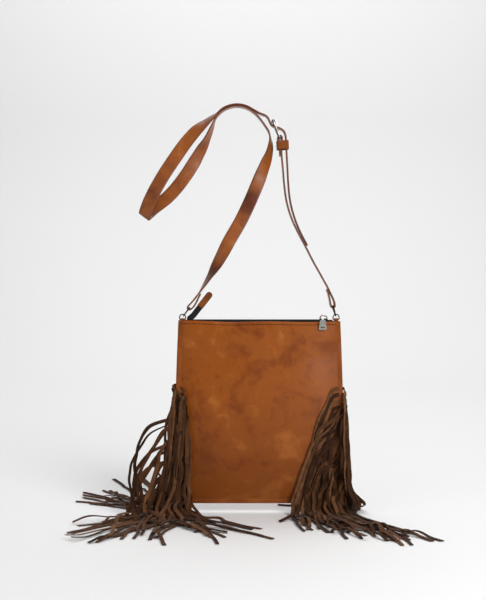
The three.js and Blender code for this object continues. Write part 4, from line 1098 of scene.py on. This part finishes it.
def extra_line(front, wide, side, k):
    """Line and across vectors of the k-th lace more in a slit.

    Its tail is the CAD tail + lean times a smooth step down it + bow times a squared half sine, and
    lies a little higher with each k.
    """
    run = spread.uniform(*RUN)
    slit_z = front[0, 2] + (spread.uniform(*SLIT_JITTER) - BELOW_EACH * k) * MM
    start = wrap_start(slit_z, side, run)
    t = np.linspace(0, 1, len(front))[:, None]
    lean = spread.uniform(*(LEAN_RIGHT if side > 0 else LEAN_LEFT))
    fan = np.array([lean, spread.uniform(*LEAN_BACK), 0]) * MM
    bow = np.array([-bow_of(side) * MM, -IN_FRONT - IN_FRONT_EACH * k, 0])
    arch = np.sin(np.pi * np.clip((t - ARCH_FROM) / ARCH_SHARE, 0, 1)) ** 2
    moved = front + fan * rise(t, LEAN_FROM, 1.0) + bow * arch
    moved[:, 2] += ABOVE_EACH * (k + 1) * (1 - rise(t[:, 0], LOW_FROM, 1.0))
    below = min(int(np.argmax(moved[:, 2] < start[-1, 2] - JOIN_BELOW)), len(moved) - LEAST_TAIL)
    tail = moved[below : len(moved) - int(spread.integers(0, 3))]
    tail = tail[tail[:, 0] > REACH_X]
    flip = np.sign(wide[below] @ np.array([0.5 * side, -0.1, 0.9]) or 1)
    tail_wide = wide[below : below + len(tail)] * flip
    turning = np.linspace(0, 1, len(start))[:, None]
    start_wide = unit((1 - turning) * UPWARDS + turning * (tail_wide[0] + 0.3 * UPWARDS))
    return np.concatenate([start, tail]), np.concatenate([start_wide, tail_wide])


print("a wrapped start has", len(WRAP), "places")

# %% [markdown]
# Now all laces are made. Each takes its suede and its width by chance, the extra ones a little
# narrower and looser.

# %% All laces
SUEDES = [suede_dark, suede_mid, suede_mid, suede_warm, suede_dark]
EXTRA_TAILS = 2
OWN_WIDTHS = (4.8, 6.4)
EXTRA_WIDTHS = (4.2, 6.2)
EXTRA_LOOSE = 0.5 * MM

lace_names = sorted(n for n in nodes if n.startswith("lace_"))
extra = 0
for name in lace_names:
    centres, across = sections_of(name)
    if centres[0][1] > centres[-1][1]:
        centres, across = centres[::-1], across[::-1]
    side = np.sign(centres[:, 0].mean() - MIDDLE_X)
    own, own_wide = own_line(centres, across, side)
    tone = SUEDES[spread.integers(len(SUEDES))]
    piece = lace_piece("suede_" + name, own, own_wide, spread.uniform(*OWN_WIDTHS) * MM, tone)
    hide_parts(name)
    top = int(np.argmax(centres[:, 2]))
    front = centres[: top + 1][::-1]
    wide = across[: top + 1][::-1]
    for k in range(0 if name in LONE_LACES else EXTRA_TAILS):
        path, path_wide = extra_line(front, wide, side, k)
        tone = SUEDES[spread.integers(len(SUEDES))]
        width = spread.uniform(*EXTRA_WIDTHS) * MM
        lace_piece(f"suede_extra_{name}_{k}", path, path_wide, width, tone, EXTRA_LOOSE)
        extra += 1
print(len(lace_names), "laces from the frame,", extra, "more tails")

# %% [markdown]
# ## Studio
#
# A pale sweep of paper lies under the bag and rises behind it.

# %% Paper sweep
PAPER_HALF = 5.0
PAPER_FRONT = -3.5
BEND_FROM = 1.5
BEND_RADIUS = 0.9
BEND_STEPS = 14
PAPER_TOP = 4.0
PAPER_BELOW = 0.2 * MM

paper = plain("paper", (0.80, 0.80, 0.80), 0.9)
turn = np.linspace(0, np.pi / 2, BEND_STEPS)
profile = [(PAPER_FRONT, 0.0)]
profile += [(BEND_FROM + BEND_RADIUS * np.sin(t), BEND_RADIUS * (1 - np.cos(t))) for t in turn]
profile += [(BEND_FROM + BEND_RADIUS, PAPER_TOP)]
corners = [[x, y, FLOOR_Z - PAPER_BELOW + z] for y, z in profile for x in (-PAPER_HALF, PAPER_HALF)]
strips = [[2 * i, 2 * i + 1, 2 * i + 3, 2 * i + 2] for i in range(len(profile) - 1)]
mesh = bpy.data.meshes.new("sweep")
mesh.from_pydata(corners, [], strips)
mesh.shade_smooth()
mesh.materials.append(paper)
sweep = bpy.data.objects.new("sweep", mesh)
bpy.context.scene.collection.objects.link(sweep)
print("the sweep has", len(strips), "strips")

# %% [markdown]
# One large soft light stands high on the right, and a small one beside it puts the sheen on the
# panel's right half. A weak one fills the left, one hangs overhead, and one washes the wall of paper
# behind the bag. The world adds an even pale light.

# %% Lights and world
WORLD_STRENGTH = 0.34
LIGHTS = [
    # Name, place, what it faces, size in metres and power in watts.
    ("key", (1.2, -1.5, 0.9), (0.03, 0, -0.35), 1.0, 31),
    ("sheen", (0.78, -1.5, -0.32), (0.13, 0, -0.40), 0.3, 6),
    ("fill", (-1.7, -1.5, 0.3), (0.0, 0, -0.35), 1.4, 5),
    ("overhead", (0.0, -0.1, 1.9), (0.0, 0, -0.6), 2.4, 4),
    ("wall_wash", (0.0, 1.2, 2.3), (0.0, 2.4, 0.1), 2.4, 46),
]


def soft_light(name, place, target, size, power):
    """A square area lamp at a place, turned to face its target."""
    data = bpy.data.lights.new(name, "AREA")
    data.size = size
    data.energy = power
    lamp = bpy.data.objects.new(name, data)
    lamp.location = place
    lamp.rotation_euler = (Vector(target) - Vector(place)).to_track_quat("-Z", "Y").to_euler()
    bpy.context.scene.collection.objects.link(lamp)


for light in LIGHTS:
    soft_light(*light)
world = bpy.data.worlds.new("studio")
bpy.context.scene.world = world
world.use_nodes = True
background = world.node_tree.nodes["Background"]
background.inputs["Color"].default_value = (1, 1, 1, 1)
background.inputs["Strength"].default_value = WORLD_STRENGTH
print(len(LIGHTS), "soft lights and the world")

# %% [markdown]
# The camera stands where the photo was taken from: 1.6 m in front of the bag, a hand's width above
# the zip, and tilted a little down.

# %% Camera
FRAME_HEIGHT = 36
LENS = 62.8
CAMERA_PLACE = (0.009, -1.6, -0.22)
CAMERA_TILT = 2.6

camera_data = bpy.data.cameras.new("camera")
camera_data.sensor_fit = "VERTICAL"
camera_data.sensor_height = FRAME_HEIGHT
camera_data.lens = LENS
camera = bpy.data.objects.new("camera", camera_data)
camera.location = CAMERA_PLACE
camera.rotation_euler = (math.radians(90 - CAMERA_TILT), 0, 0)
bpy.context.scene.collection.objects.link(camera)
bpy.context.scene.camera = camera
bpy.context.scene.view_settings.view_transform = "Standard"
print("camera at", CAMERA_PLACE, "with a lens of", LENS, "mm")
